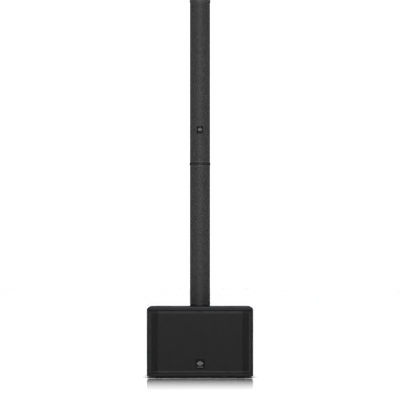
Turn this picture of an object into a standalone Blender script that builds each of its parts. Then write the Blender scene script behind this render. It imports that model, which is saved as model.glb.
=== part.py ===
"""Column loudspeaker: a base unit with two woofers and an amplifier, and two line-array columns
that plug into it and into each other.

Run it with: blender --background --python part.py
Units are metres. +Z is up, the grilles face -Y, and the origin is on the floor under the middle of
the base unit.
"""

import math

import bmesh
import bpy
from mathutils import Matrix, Vector

# ---- Driving dimensions ----------------------------------------------------------------------

GAP = 0.0003  # clearance between pieces that rest on each other

# Base unit
CAB_W = 0.598
CAB_D = 0.460
CAB_TOP = 0.400
FOOT_H = 0.008
WALL = 0.009
FRONT = -CAB_D / 2
REAR = CAB_D / 2
FACET_X = 0.238  # half width of the flat middle of the front
FACET_BACK = 0.024  # how far the facets beside it run back at the corners
CORNER_R = 0.022  # upright corners
TOP_ROLL = (0.022, 0.014, 0.016)  # top edge: side inset, front inset and height of its quarter ellipse
FOOT_ROLL = (0.018, 0.030, 0.009)  # the same for the bottom edge
FOOT_X = 0.234
FOOT_Y = 0.175
FOOT_R = (0.0155, 0.0188)  # at the floor and at the cabinet

# Front opening, grille and baffle
OPEN_W = 0.577
OPEN_LOW = 0.0280
OPEN_HIGH = 0.3785
BROW_CHAMFER = (0.0062, 0.0062)  # depth and height of the slope under the top edge of the opening
GRILLE_W = 0.574
GRILLE_H = 0.348
GRILLE_Z = 0.203
GRILLE_FRONT = FRONT + 0.0035
GRILLE_T = 0.0015
GRILLE_STRIP = 0.0085  # width of the strips beyond the facets, which face the front again
GRILLE_BEND = 0.0025
GRILLE_FLANGE = 0.012
FOAM_INSET = 0.008
FOAM_T = 0.008
BAFFLE_FRONT = -0.1853
BAFFLE_T = 0.015
LEDGE_T = 0.012  # the rim that the baffle is screwed to
LEDGE_W = 0.012

# Woofers and bass ports
WOOFER_X = 0.134
WOOFER_Z = GRILLE_Z
WOOFER_R = 0.128
WOOFER_HOLE_R = 0.117
PORT_DZ = 0.122
PORT_R = 0.0395
PORT_LENGTH = 0.150

# Back of the base unit and its amplifier
REAR_INSET = 0.022  # the back wall lies this far inside the rim
REAR_FACE = REAR - REAR_INSET
RIM_W = 0.027
PANEL_W = 0.276
PANEL_LOW = 0.045
PANEL_HIGH = 0.365
PANEL_T = 0.003
PANEL_LAP = 0.012
CONTROL_Z = 0.190
JACK_X = (-0.035, -0.085)
COMBO_Z = 0.140
LINK_Z = 0.100
DISPLAY_AT = (0.082, 0.200)
DISPLAY_SIZE = (0.060, 0.032)
BUTTON_X = (0.062, 0.082, 0.102)
BUTTON_Z = 0.170
BUTTON_SIZE = (0.009, 0.006)
ENCODER_X = 0.022
JACK_FLANGE = (0.026, 0.031, 0.0022)
JACK_BODY_R = 0.0118
JACK_MOUTH_R = 0.0088
INLET_AT = (0.085, 0.092)
INLET_FLANGE = (0.050, 0.027, 0.0025)
INLET_BODY = (0.028, 0.020, 0.024)
INLET_MOUTH = (0.0244, 0.0166, 0.016)
ROCKER_AT = (0.030, 0.092)
ROCKER_SIZE = (0.0125, 0.0210)
ROCKER_TILT = math.radians(8)
SINK_LOW = 0.234
SINK_HIGH = 0.354
SINK_HALF_W = 0.118
SINK_BASE = 0.004
FIN_COUNT = 15
FIN_T = 0.0022
FIN_H = 0.014

# Columns
COLUMN_Y = 0.030
COLUMN_HALF_W = 0.057
COLUMN_BACK = 0.061
COLUMN_LIP = -0.036  # front edge of the housing's side walls
COLUMN_NOSE = -0.061  # front of the curved grille
COLUMN_WALL = 0.0025
COLUMN_CORNER_R = 0.016
COLUMN_GRILLE_INSET = 0.0038  # of the grille's edges inside the housing's sides
WEB_FRONT = -0.031
LOWER_TOP = 1.2049
COLLAR_H = 0.0065
UPPER_BASE_H = 0.0062
UPPER_TOP = 2.1377
CAP_H = 0.018
CAP_OVERHANG = 0.002
CAP_ROLL = 0.008
BASE_PLATE_H = 0.010
SPIGOT = (0.080, 0.056, 0.055)
SPIGOT_PLAY = 0.0008
SOCKET_FLANGE = (0.128, 0.138, 0.004)
SOCKET_BODY = (0.106, 0.082, 0.072)
PLUG = (0.0604, 0.0304, 0.042)
PLUG_Y = 0.034
DRIVER_R = 0.039
DRIVER_HOLE_R = 0.0352
LOWER_DRIVERS = 8
LOWER_PITCH = 0.0965
UPPER_DRIVERS = 7
UPPER_FIRST = 0.057  # height of the first driver over the housing's foot
UPPER_PITCH = 0.105
TWEETER_SIZE = (0.090, 0.146)
TWEETER_RISE = 0.126  # above the last driver

# Badges
BADGE_SIZE = (0.051, 0.052, 0.002)
BADGE_Z = 0.080
BADGE_RELIEF = 0.0008
COLUMN_BADGE_HALF_W = 0.019
COLUMN_BADGE_T = 0.002
COLUMN_BADGE_Z = (1.384, 1.424)

# Handles
HANDLE_X = 0.2115
HANDLE_FLANGE = (0.127, 0.120, 0.0015)
HANDLE_CUP = (0.104, 0.100, 0.044)
HANDLE_WALL = 0.0025
HANDLE_BAR_R = 0.010

FACE_FRONT = Matrix.Rotation(math.radians(90), 4, "X")  # turns local +Z to -Y
FACE_REAR = Matrix.Rotation(math.radians(-90), 4, "X")  # turns local +Z to +Y


# ---- Scene, materials and shapes -------------------------------------------------------------

def new_collection(name):
    made = bpy.data.collections.new(name)
    bpy.context.scene.collection.children.link(made)
    return made


def new_material(name, colour, roughness, metallic=0.0):
    made = bpy.data.materials.new(name)
    made.use_nodes = True
    shader = made.node_tree.nodes["Principled BSDF"]
    shader.inputs["Base Color"].default_value = (*colour, 1.0)
    shader.inputs["Roughness"].default_value = roughness
    shader.inputs["Metallic"].default_value = metallic
    return made


for leftover in list(bpy.data.objects):
    bpy.data.objects.remove(leftover, do_unlink=True)

PARTS = new_collection("column_loudspeaker")
CUTTERS = new_collection("cutters")
CABINET = new_material("cabinet_plastic", (0.020, 0.020, 0.022), 0.50)
GRILLE = new_material("grille_steel", (0.040, 0.040, 0.040), 0.55, 0.3)
COLUMN = new_material("column_aluminium", (0.030, 0.030, 0.031), 0.45, 0.6)
TRIM = new_material("trim_plastic", (0.012, 0.012, 0.013), 0.45)
RUBBER = new_material("rubber", (0.010, 0.010, 0.010), 0.85)
FOAM = new_material("acoustic_foam", (0.008, 0.008, 0.008), 0.95)
BOARD = new_material("baffle_board", (0.020, 0.018, 0.016), 0.80)
CONE = new_material("paper_cone", (0.022, 0.022, 0.022), 0.85)
FRAME = new_material("driver_frame", (0.050, 0.050, 0.052), 0.45, 0.8)
PANEL = new_material("amp_panel", (0.022, 0.022, 0.024), 0.40, 0.5)
SINK = new_material("heat_sink", (0.030, 0.030, 0.032), 0.40, 0.8)
CIRCUIT = new_material("circuit_board", (0.015, 0.070, 0.030), 0.50)
DISPLAY = new_material("display_window", (0.010, 0.020, 0.035), 0.10)
METAL = new_material("bright_metal", (0.550, 0.550, 0.560), 0.30, 1.0)
BADGE = new_material("badge", (0.018, 0.019, 0.020), 0.35)


def place(obj, material):
    """Files a finished piece with the parts, or with the cutters if it has no material."""
    (PARTS if material else CUTTERS).objects.link(obj)
    if material:
        obj.data.materials.append(material)
    else:
        obj.hide_render = True
        obj.display_type = "WIRE"
    return obj


def from_bmesh(name, bm, material, at=(0, 0, 0), turn=None):
    """An object from a bmesh, with its origin at a point and its own axes turned."""
    bmesh.ops.recalc_face_normals(bm, faces=bm.faces)
    mesh = bpy.data.meshes.new(name)
    bm.to_mesh(mesh)
    bm.free()
    obj = bpy.data.objects.new(name, mesh)
    obj.matrix_world = Matrix.Translation(at) @ (turn or Matrix.Identity(4))
    return place(obj, material)


def evaluated_mesh(obj, name):
    """The object's mesh with its modifiers, or with its curve's bevel and caps, made real and welded."""
    bpy.context.view_layer.update()
    graph = bpy.context.evaluated_depsgraph_get()
    mesh = bpy.data.meshes.new_from_object(obj.evaluated_get(graph))
    mesh.name = name
    bm = bmesh.new()
    bm.from_mesh(mesh)
    bmesh.ops.remove_doubles(bm, verts=bm.verts, dist=1e-6)
    bmesh.ops.recalc_face_normals(bm, faces=bm.faces)
    bm.to_mesh(mesh)
    bm.free()
    return mesh


def box(name, low, high, material=None, bevel=0.0, segments=1):
    """A box between two corners, with its origin at its middle and its edges rounded if asked."""
    low, high = Vector(low), Vector(high)
    bm = bmesh.new()
    bmesh.ops.create_cube(bm, size=1.0, matrix=Matrix.Diagonal((*(high - low), 1.0)))
    if bevel:
        bmesh.ops.bevel(bm, geom=bm.edges[:], offset=bevel, segments=segments, affect="EDGES", profile=0.5)
    return from_bmesh(name, bm, material, at=(low + high) / 2)


def cylinder(name, radius, low, high, steps=20, material=None, tip_radius=None):
    """A cylinder or a cone along the axis that its two end points differ in."""
    low, high = Vector(low), Vector(high)
    along = high - low
    bm = bmesh.new()
    bmesh.ops.create_cone(
        bm,
        cap_ends=True,
        segments=steps,
        radius1=radius,
        radius2=radius if tip_radius is None else tip_radius,
        depth=along.length,
    )
    turn = along.to_track_quat("Z", "Y").to_matrix().to_4x4()
    return from_bmesh(name, bm, material, at=(low + high) / 2, turn=turn)


def rounded(corners, steps=3):
    """The outline through corners of (u, v, radius), with each radius turned into an arc."""
    points = []
    for i, (u, v, radius) in enumerate(corners):
        here = Vector((u, v))
        if not radius:
            points.append((u, v))
            continue
        before = (Vector(corners[i - 1][:2]) - here).normalized()
        after = (Vector(corners[(i + 1) % len(corners)][:2]) - here).normalized()
        half = before.angle(after) / 2
        centre = here + (before + after).normalized() * radius / math.sin(half)
        start = here + before * radius / math.tan(half) - centre
        end = here + after * radius / math.tan(half) - centre
        first = math.atan2(start.y, start.x)
        sweep = (math.atan2(end.y, end.x) - first + math.pi) % (2 * math.pi) - math.pi
        for k in range(steps + 1):
            angle = first + sweep * k / steps
            points.append((centre.x + radius * math.cos(angle), centre.y + radius * math.sin(angle)))
    return points


def rectangle(width, height, radius=0.0, middle=(0.0, 0.0), steps=3):
    u, v = middle
    w, h = width / 2, height / 2
    signs = ((-1, -1), (1, -1), (1, 1), (-1, 1))
    return rounded([(u + w * a, v + h * b, radius) for a, b in signs], steps)


def circle(radius, middle=(0.0, 0.0), steps=20):
    angles = [2 * math.pi * k / steps for k in range(steps)]
    return [(middle[0] + radius * math.cos(a), middle[1] + radius * math.sin(a)) for a in angles]


def prism(name, loops, thickness, at, material=None, turn=None):
    """Outlines, the first with the others as its holes, extruded equally to both sides of a point."""
    curve = bpy.data.curves.new(name, "CURVE")
    curve.dimensions = "2D"
    curve.fill_mode = "BOTH"
    curve.extrude = thickness / 2
    for loop in loops:
        spline = curve.splines.new("POLY")
        spline.points.add(len(loop) - 1)
        for point, (u, v) in zip(spline.points, loop):
            point.co = (u, v, 0.0, 1.0)
        spline.use_cyclic_u = True
    draft = bpy.data.objects.new(name, curve)
    CUTTERS.objects.link(draft)
    mesh = evaluated_mesh(draft, name)
    bpy.data.objects.remove(draft, do_unlink=True)
    obj = bpy.data.objects.new(name, mesh)
    obj.matrix_world = Matrix.Translation(at) @ (turn or Matrix.Identity(4))
    return place(obj, material)


def turned(name, profile, at, material=None, turn=FACE_FRONT, steps=24):
    """A profile of (radius, height) turned round its axis by a Screw modifier. It runs outwards over
    the top, down the outside and back underneath."""
    bm = bmesh.new()
    points = [bm.verts.new((radius, 0.0, height)) for radius, height in profile]
    for a, b in zip(points, points[1:]):
        bm.edges.new((a, b))
    if profile[0][0] > 0:
        bm.edges.new((points[-1], points[0]))
    mesh = bpy.data.meshes.new(name)
    bm.to_mesh(mesh)
    bm.free()
    obj = bpy.data.objects.new(name, mesh)
    obj.matrix_world = Matrix.Translation(at) @ turn
    screw = obj.modifiers.new("turn", "SCREW")
    screw.steps = screw.render_steps = steps
    screw.use_merge_vertices = True
    screw.merge_threshold = 0.00001
    screw.use_smooth_shade = True
    return place(obj, material)


def bent_sheet(name, path, low, high, thickness, material):
    """A sheet that follows a path of (x, y) points and stands between two heights. Its thickness is
    laid on the inner side of the path."""
    bm = bmesh.new()
    foot = [bm.verts.new((x, y, low)) for x, y in path]
    edges = [bm.edges.new(pair) for pair in zip(foot, foot[1:])]
    raised = bmesh.ops.extrude_edge_only(bm, edges=edges)
    for vert in (g for g in raised["geom"] if isinstance(g, bmesh.types.BMVert)):
        vert.co.z = high
    mesh = bpy.data.meshes.new(name)
    bm.normal_update()
    if sum(face.normal.y for face in bm.faces) > 0:
        bmesh.ops.reverse_faces(bm, faces=bm.faces)
    bm.to_mesh(mesh)
    bm.free()
    obj = bpy.data.objects.new(name, mesh)
    solidify = obj.modifiers.new("thickness", "SOLIDIFY")
    solidify.thickness = thickness
    solidify.offset = -1.0
    solidify.use_even_offset = True
    return place(obj, material)


def combine(target, tool, operation="DIFFERENCE"):
    """Cuts the target with a tool, or joins the tool to it. The tool stays as a hidden guide."""
    modifier = target.modifiers.new(tool.name, "BOOLEAN")
    modifier.operation = operation
    modifier.object = tool
    return target


def joined(name, first, *others, material):
    """One piece from several overlapping shapes."""
    for other in others:
        combine(first, other, "UNION")
    obj = bpy.data.objects.new(name, evaluated_mesh(first, name))
    obj.matrix_world = first.matrix_world
    return place(obj, material)


def cutter_set(name, makers):
    """One cutter from several shapes that don't touch each other."""
    bm = bmesh.new()
    for shape in makers:
        bpy.context.view_layer.update()
        mesh = shape.data.copy()
        mesh.transform(shape.matrix_world)
        bm.from_mesh(mesh)
        bpy.data.meshes.remove(mesh)
        bpy.data.objects.remove(shape, do_unlink=True)
    return from_bmesh(name, bm, None)


def hang(name, pieces, at, parent=None):
    """An empty on a joint's axis, with the pieces that move on it as its children."""
    empty = bpy.data.objects.new(name, None)
    empty.location = at
    PARTS.objects.link(empty)
    if parent:
        bpy.context.view_layer.update()
        empty.parent = parent
        empty.matrix_parent_inverse = parent.matrix_world.inverted()
    bpy.context.view_layer.update()
    for piece in pieces:
        piece.parent = empty
        piece.matrix_parent_inverse = empty.matrix_world.inverted()
    return empty


# ---- Base unit: cabinet, feet and handles ----------------------------------------------------

def cabinet_body():
    """The closed outer form: the plan outline carried up through sections that draw in at the
    bottom and top edges along quarter ellipses."""
    w, back = CAB_W / 2, FRONT + FACET_BACK
    plan = rounded([
        (-FACET_X, FRONT, 0), (FACET_X, FRONT, 0), (w, back, CORNER_R),
        (w, REAR, CORNER_R), (-w, REAR, CORNER_R), (-w, back, CORNER_R),
    ])
    quarter = [math.pi / 2 * k / 4 for k in range(5)]
    side, front, height = FOOT_ROLL
    sections = [
        (FOOT_H + height * (1 - math.sin(a)), side * (1 - math.cos(a)), front * (1 - math.cos(a)))
        for a in reversed(quarter)
    ]
    side, front, height = TOP_ROLL
    sections += [
        (CAB_TOP - height * (1 - math.sin(a)), side * (1 - math.cos(a)), front * (1 - math.cos(a)))
        for a in quarter
    ]
    bm = bmesh.new()
    rings = []
    for z, inset_x, inset_y in sections:
        wide, deep = 1 - 2 * inset_x / CAB_W, 1 - 2 * inset_y / CAB_D
        rings.append([bm.verts.new((x * wide, y * deep, z)) for x, y in plan])
    for low, high in zip(rings, rings[1:]):
        for i in range(len(plan)):
            bm.faces.new((low[i - 1], low[i], high[i], high[i - 1]))
    bm.faces.new(reversed(rings[0]))
    bm.faces.new(rings[-1])
    return from_bmesh("cabinet_shell", bm, CABINET)


def brow_cut():
    """A wedge that follows the front in plan and slopes the underside of the brow back to the grille."""
    depth, height = BROW_CHAMFER
    corner_y = FRONT + FACET_BACK * (OPEN_W / 2 - FACET_X) / (CAB_W / 2 - FACET_X)
    front = [(-OPEN_W / 2, corner_y), (-FACET_X, FRONT), (FACET_X, FRONT), (OPEN_W / 2, corner_y)]
    bm = bmesh.new()
    rings = []
    for x, y in front:
        wedge = ((y - depth, OPEN_HIGH - 0.001), (y + depth, OPEN_HIGH - 0.001), (y + depth, OPEN_HIGH),
                 (y, OPEN_HIGH + height), (y - depth, OPEN_HIGH + height))
        rings.append([bm.verts.new((x, v, w)) for v, w in wedge])
    for left, right in zip(rings, rings[1:]):
        for i in range(len(left)):
            bm.faces.new((left[i - 1], left[i], right[i], right[i - 1]))
    bm.faces.new(rings[0])
    bm.faces.new(reversed(rings[-1]))
    return from_bmesh("brow_cut", bm, None)


def top_cut(name, size, y, play, depth, x=0.0):
    """A cutter for a seat or hole of this size, with play round it, down from the cabinet's top."""
    wide, deep = size[0] / 2 + play, size[1] / 2 + play
    return box(name, (x - wide, y - deep, CAB_TOP - depth), (x + wide, y + deep, CAB_TOP + 0.02))


def cabinet_shell():
    shell = cabinet_body()
    ledge_back = BAFFLE_FRONT + BAFFLE_T + GAP + LEDGE_T
    half = OPEN_W / 2
    inner = CAB_W / 2 - WALL
    cuts = [
        brow_cut(),
        box("front_recess_cut", (-half, FRONT - 0.05, OPEN_LOW), (half, ledge_back - LEDGE_T, OPEN_HIGH)),
        box("ledge_cut", (-half + LEDGE_W, ledge_back - LEDGE_T - 0.01, OPEN_LOW + LEDGE_W),
            (half - LEDGE_W, ledge_back + 0.01, OPEN_HIGH - LEDGE_W)),
        box("cavity_cut", (-inner, ledge_back, FOOT_H + WALL), (inner, REAR_FACE - WALL, CAB_TOP - WALL),
            bevel=0.008),
        box("rear_recess_cut", (-CAB_W / 2 + RIM_W, REAR_FACE, FOOT_H + RIM_W),
            (CAB_W / 2 - RIM_W, REAR + 0.05, CAB_TOP - RIM_W)),
        box("panel_seat_cut",
            (-PANEL_W / 2 - GAP, REAR_FACE - PANEL_T - GAP, PANEL_LOW - GAP),
            (PANEL_W / 2 + GAP, REAR_FACE + 0.01, PANEL_HIGH + GAP)),
        box("amp_opening_cut", (-PANEL_W / 2 + PANEL_LAP, REAR_FACE - 0.05, PANEL_LOW + PANEL_LAP),
            (PANEL_W / 2 - PANEL_LAP, REAR_FACE + 0.02, PANEL_HIGH - PANEL_LAP)),
        top_cut("socket_seat_cut", SOCKET_FLANGE, COLUMN_Y, 0.0005, SOCKET_FLANGE[2] + GAP),
        top_cut("socket_hole_cut", SOCKET_BODY, COLUMN_Y, 0.0006, 0.03),
    ]
    for side, x in (("left", -HANDLE_X), ("right", HANDLE_X)):
        cuts.append(top_cut(f"handle_cut_{side}", HANDLE_CUP, 0.0, 0.0015, 0.03, x))
    for tool in cuts:
        combine(shell, tool)
    return shell


def feet():
    for row, y in (("front", -FOOT_Y), ("rear", FOOT_Y)):
        for side, x in (("left", -FOOT_X), ("right", FOOT_X)):
            tread, top = FOOT_R
            cylinder(f"foot_{row}_{side}", tread, (x, y, 0.0), (x, y, FOOT_H - GAP), 20, RUBBER, top)


def handle(side, sign):
    """A recessed carrying handle: a cup under a thin flange, crossed by a fixed bar."""
    x = sign * HANDLE_X
    wide, deep, depth = HANDLE_CUP
    top = CAB_TOP + GAP + HANDLE_FLANGE[2]
    flange = box(
        f"handle_flange_{side}",
        (x - HANDLE_FLANGE[0] / 2, -HANDLE_FLANGE[1] / 2, CAB_TOP + GAP),
        (x + HANDLE_FLANGE[0] / 2, HANDLE_FLANGE[1] / 2, top),
    )
    cup = box(
        f"handle_outer_{side}",
        (x - wide / 2, -deep / 2, top - depth),
        (x + wide / 2, deep / 2, top - 0.0005),
        bevel=0.004,
    )
    hollow = box(
        f"handle_hollow_{side}",
        (x - wide / 2 + HANDLE_WALL, -deep / 2 + HANDLE_WALL, top - depth + HANDLE_WALL),
        (x + wide / 2 - HANDLE_WALL, deep / 2 - HANDLE_WALL, top + 0.02),
    )
    combine(flange, cup, "UNION")
    combine(flange, hollow)
    bar_z = top - HANDLE_BAR_R - 0.001
    bar = cylinder(
        f"handle_bar_{side}", HANDLE_BAR_R, (x, -deep / 2 + 0.001, bar_z), (x, deep / 2 - 0.001, bar_z), 16
    )
    return joined(f"handle_cup_{side}", flange, bar, material=TRIM)


def column_socket():
    """The seat that the lower column's spigot drops into, let into the cabinet's top."""
    wide, deep, depth = SOCKET_FLANGE
    flange_low = CAB_TOP - depth
    flange = box(
        "socket_flange",
        (-wide / 2, COLUMN_Y - deep / 2, flange_low),
        (wide / 2, COLUMN_Y + deep / 2, CAB_TOP),
    )
    wide, deep, depth = SOCKET_BODY
    body = box(
        "socket_body",
        (-wide / 2, COLUMN_Y - deep / 2, CAB_TOP - depth),
        (wide / 2, COLUMN_Y + deep / 2, flange_low + 0.001),
        bevel=0.0005,
    )
    wide, deep, depth = SPIGOT
    pocket = box(
        "socket_pocket",
        (-wide / 2 - SPIGOT_PLAY, COLUMN_Y - deep / 2 - SPIGOT_PLAY, CAB_TOP - depth - 0.008),
        (wide / 2 + SPIGOT_PLAY, COLUMN_Y + deep / 2 + SPIGOT_PLAY, CAB_TOP + 0.02),
    )
    combine(flange, body, "UNION")
    combine(flange, pocket)
    return joined("column_socket", flange, material=TRIM)


# ---- Base unit: grille, baffle, woofers and ports --------------------------------------------

def front_path(front, half_width):
    """The right half of a plan line behind the front: the flat's end, then the end of the facet."""
    slope = FACET_BACK / (CAB_W / 2 - FACET_X)
    return [(FACET_X, front), (half_width, front + slope * (half_width - FACET_X))]


def mirrored(right):
    """A plan line from left to right through both halves."""
    return [(-x, y) for x, y in reversed(right)] + right


def front_grille():
    """A folded sheet: flat, a facet each side, a narrow strip that faces the front and a flange."""
    low, high = GRILLE_Z - GRILLE_H / 2, GRILLE_Z + GRILLE_H / 2
    edge = GRILLE_W / 2
    right = front_path(GRILLE_FRONT, edge - GRILLE_STRIP)
    y = right[-1][1]
    right += [(edge - GRILLE_BEND, y), (edge, y + GRILLE_BEND), (edge, y + GRILLE_FLANGE)]
    return bent_sheet("front_grille", mirrored(right), low, high, GRILLE_T, GRILLE)


def grille_foam():
    low, high = GRILLE_Z - GRILLE_H / 2 + FOAM_INSET, GRILLE_Z + GRILLE_H / 2 - FOAM_INSET
    right = front_path(GRILLE_FRONT + GRILLE_T + GAP, GRILLE_W / 2 - FOAM_INSET)
    return bent_sheet("grille_foam", mirrored(right), low, high, FOAM_T, FOAM)


def front_baffle():
    height = OPEN_HIGH - OPEN_LOW - 2 * GAP
    middle = (OPEN_HIGH + OPEN_LOW) / 2
    loops = [rectangle(OPEN_W - 2 * GAP, height)]
    loops += [circle(WOOFER_HOLE_R, (x, WOOFER_Z - middle), 32) for x in (-WOOFER_X, WOOFER_X)]
    loops += [circle(PORT_R + GAP, (0, WOOFER_Z + dz - middle), 20) for dz in (-PORT_DZ, PORT_DZ)]
    at = (0, BAFFLE_FRONT + BAFFLE_T / 2, middle)
    return prism("front_baffle", loops, BAFFLE_T, at, BOARD, FACE_FRONT)


def woofer(side, x):
    """A 260 mm class bass driver: a fixed frame with its magnet, and the cone that moves in it."""
    at = (x, BAFFLE_FRONT - GAP, WOOFER_Z)
    frame = [
        (0.0, -0.080), (0.0235, -0.080), (0.0235, -0.110), (0.0285, -0.110), (0.0285, -0.0735),
        (0.0690, -0.0735), (0.1120, -0.0150), (0.1120, 0.0050), (WOOFER_R, 0.0050), (WOOFER_R, 0.0),
        (0.1155, 0.0), (0.1155, -0.0155), (0.0740, -0.0775), (0.0620, -0.0775), (0.0620, -0.1180),
        (0.0, -0.1180),
    ]
    turned(f"woofer_frame_{side}", frame, at, FRAME, steps=28)
    roll = [
        (0.0990 - 0.0090 * math.cos(a), -0.0030 + 0.0090 * math.sin(a))
        for a in (math.pi * k / 6 for k in range(7))
    ]
    roll_under = [
        (0.0990 + 0.0074 * math.cos(a), -0.0030 + 0.0074 * math.sin(a))
        for a in (math.pi * k / 4 for k in range(1, 4))
    ]
    cap = [(0.0, -0.0270), (0.0200, -0.0310), (0.0380, -0.0420)]
    front = cap + roll + [(0.1105, -0.0030)]
    under = [(0.1105, -0.0048), (0.1064, -0.0048)] + roll_under + [(0.0900, -0.0052)]
    neck = [(0.0264, -0.0520), (0.0264, -0.0980), (0.0252, -0.0980), (0.0252, -0.0490)]
    back = under + neck + [(0.0340, -0.0425), (0.0190, -0.0326), (0.0, -0.0288)]
    turned(f"woofer_cone_{side}", front + back, at, CONE, steps=28)


def port_tube(level, sign):
    """A bass port: a flared mouth on the baffle and a tube that runs back into the cabinet."""
    outer, inner = PORT_R, PORT_R - 0.0035
    profile = [
        (inner + 0.0055, 0.0030), (outer + 0.0055, 0.0030), (outer + 0.0055, 0.0), (outer, 0.0),
        (outer, -PORT_LENGTH), (inner, -PORT_LENGTH), (inner, -0.0100), (inner + 0.0015, -0.0020),
    ]
    at = (0, BAFFLE_FRONT - GAP, WOOFER_Z + sign * PORT_DZ)
    turned(f"port_tube_{level}", profile, at, TRIM, steps=20)


def emblem_bars(front, back):
    """Five upright bars of a level meter, the badge's generic mark."""
    bars = []
    for i, height in enumerate((0.010, 0.019, 0.028, 0.019, 0.010)):
        x = (i - 2) * 0.0072
        low, high = BADGE_Z - height / 2, BADGE_Z + height / 2
        bars.append(box(f"badge_bar_{i}", (x - 0.0022, front, low), (x + 0.0022, back, high)))
    return bars


def front_badge():
    back = GRILLE_FRONT - GAP
    wide, tall, thick = BADGE_SIZE
    middle = back - thick / 2
    at = (0, middle, BADGE_Z)
    plate = prism("badge_plate", [rectangle(wide, tall, 0.005)], thick, at, turn=FACE_FRONT)
    bars = cutter_set("badge_bars", emblem_bars(back - thick - BADGE_RELIEF, middle))
    return joined("front_badge", plate, bars, material=BADGE)


# ---- Base unit: amplifier --------------------------------------------------------------------

def amp_panel():
    """The back plate, with a hole for every control and connector that comes through it."""
    middle = (PANEL_LOW + PANEL_HIGH) / 2
    loops = [rectangle(PANEL_W, PANEL_HIGH - PANEL_LOW, 0.004)]
    width, height = DISPLAY_SIZE
    loops.append(rectangle(width + 2 * GAP, height + 2 * GAP, 0, (DISPLAY_AT[0], DISPLAY_AT[1] - middle)))
    for x in BUTTON_X:
        size = [side + 0.0008 for side in BUTTON_SIZE]
        loops.append(rectangle(*size, 0, (x, BUTTON_Z - middle)))
    loops.append(circle(0.0036, (ENCODER_X, CONTROL_Z - middle), 12))
    for x in JACK_X:
        loops.append(circle(0.0036, (x, CONTROL_Z - middle), 12))
        loops.append(circle(0.0123, (x, COMBO_Z - middle), 20))
        loops.append(circle(0.0123, (x, LINK_Z - middle), 20))
    loops.append(rectangle(0.0286, 0.0206, 0, (INLET_AT[0], INLET_AT[1] - middle)))
    width, height = ROCKER_SIZE
    loops.append(rectangle(width + 0.0012, height + 0.0020, 0, (ROCKER_AT[0], ROCKER_AT[1] - middle)))
    at = (0, REAR_FACE - PANEL_T / 2, middle)
    return prism("amp_panel", loops, PANEL_T, at, PANEL, FACE_FRONT)


def heat_sink():
    """A finned extrusion on the outside of the panel."""
    half, base = SINK_HALF_W, SINK_BASE
    pitch = 2 * (half - FIN_T / 2) / (FIN_COUNT - 1)
    comb = [(-half, 0.0), (half, 0.0)]
    for i in reversed(range(FIN_COUNT)):
        x = -half + FIN_T / 2 + i * pitch
        comb += [(x + FIN_T / 2, base + FIN_H if i == FIN_COUNT - 1 else base)]
        comb += [(x + FIN_T / 2, base + FIN_H)] if i < FIN_COUNT - 1 else []
        comb += [(x - FIN_T / 2, base + FIN_H)]
        comb += [(x - FIN_T / 2, base)] if i else []
    at = (0, REAR_FACE + GAP, (SINK_LOW + SINK_HIGH) / 2)
    return prism("amp_heatsink", [comb], SINK_HIGH - SINK_LOW, at, SINK)


def circuit_board():
    """The amplifier's board on four posts behind the panel, with its largest components."""
    plate_y = 0.170
    back = plate_y - 0.001
    board = box("board_plate", (-0.105, plate_y - 0.002, 0.110), (0.105, plate_y, 0.335))
    shapes = []
    for x in (-0.095, 0.095):
        for z in (0.120, 0.325):
            name = f"board_post_{len(shapes)}"
            shapes.append(cylinder(name, 0.004, (x, back, z), (x, REAR_FACE - PANEL_T - GAP, z), 8))
    shapes.append(box("board_transformer", (-0.085, plate_y - 0.052, 0.235), (-0.015, back, 0.305)))
    shapes.append(box("board_output_stage", (0.010, plate_y - 0.022, 0.255), (0.085, back, 0.300)))
    for i in range(4):
        x, z = -0.060 + i * 0.040, 0.200
        shapes.append(cylinder(f"board_capacitor_{i}", 0.014, (x, back, z), (x, plate_y - 0.042, z), 12))
    parts = cutter_set("board_parts", shapes)
    return joined("amp_circuit_board", board, parts, material=CIRCUIT)


def display_and_buttons():
    width, height = DISPLAY_SIZE
    x, z = DISPLAY_AT
    box("display_window", (x - width / 2, REAR_FACE - 0.0026, z - height / 2),
        (x + width / 2, REAR_FACE + 0.0006, z + height / 2), DISPLAY)
    width, height = BUTTON_SIZE
    for name, x in zip(("menu", "select", "back"), BUTTON_X):
        box(f"{name}_button", (x - width / 2, REAR_FACE - 0.0045, BUTTON_Z - height / 2),
            (x + width / 2, REAR_FACE + 0.0025, BUTTON_Z + height / 2), TRIM, bevel=0.0006)


def knob_profile(radius, low, high, bore, bore_top):
    """A cap of this radius between two heights, with a blind bore from below."""
    return [
        (0.0, high), (radius - 0.0012, high), (radius * 0.96, high - 0.0012), (radius, low),
        (bore, low), (bore, bore_top), (0.0, bore_top),
    ]


def encoder():
    """The push-and-turn encoder: its shaft slides in, and its knob turns on the shaft."""
    at = (ENCODER_X, REAR_FACE, CONTROL_Z)
    shaft = [(0.0, 0.0070), (0.0030, 0.0070), (0.0030, -0.0120), (0.0, -0.0120)]
    turned("encoder_shaft", shaft, at, METAL, FACE_REAR, 16)
    knob = knob_profile(0.0105, 0.0015, 0.0155, 0.0033, 0.0073)
    turned("encoder_knob", knob, at, TRIM, FACE_REAR, 24)


def gain_knob(channel, x):
    """A gain control with its shaft, and a pointer slot across one side of its face."""
    at = (x, REAR_FACE, CONTROL_Z)
    profile = [
        (0.0, 0.0135), (0.0065, 0.0135), (0.0073, 0.0123), (0.0078, 0.0012), (0.0030, 0.0012),
        (0.0030, -0.0100), (0.0, -0.0100),
    ]
    knob = turned(f"gain_knob_{channel}", profile, at, TRIM, FACE_REAR, 20)
    slot = box(
        f"gain_slot_{channel}",
        (x - 0.0006, REAR_FACE + 0.0125, CONTROL_Z + 0.0015),
        (x + 0.0006, REAR_FACE + 0.0160, CONTROL_Z + 0.0100),
    )
    return combine(knob, slot)


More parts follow.
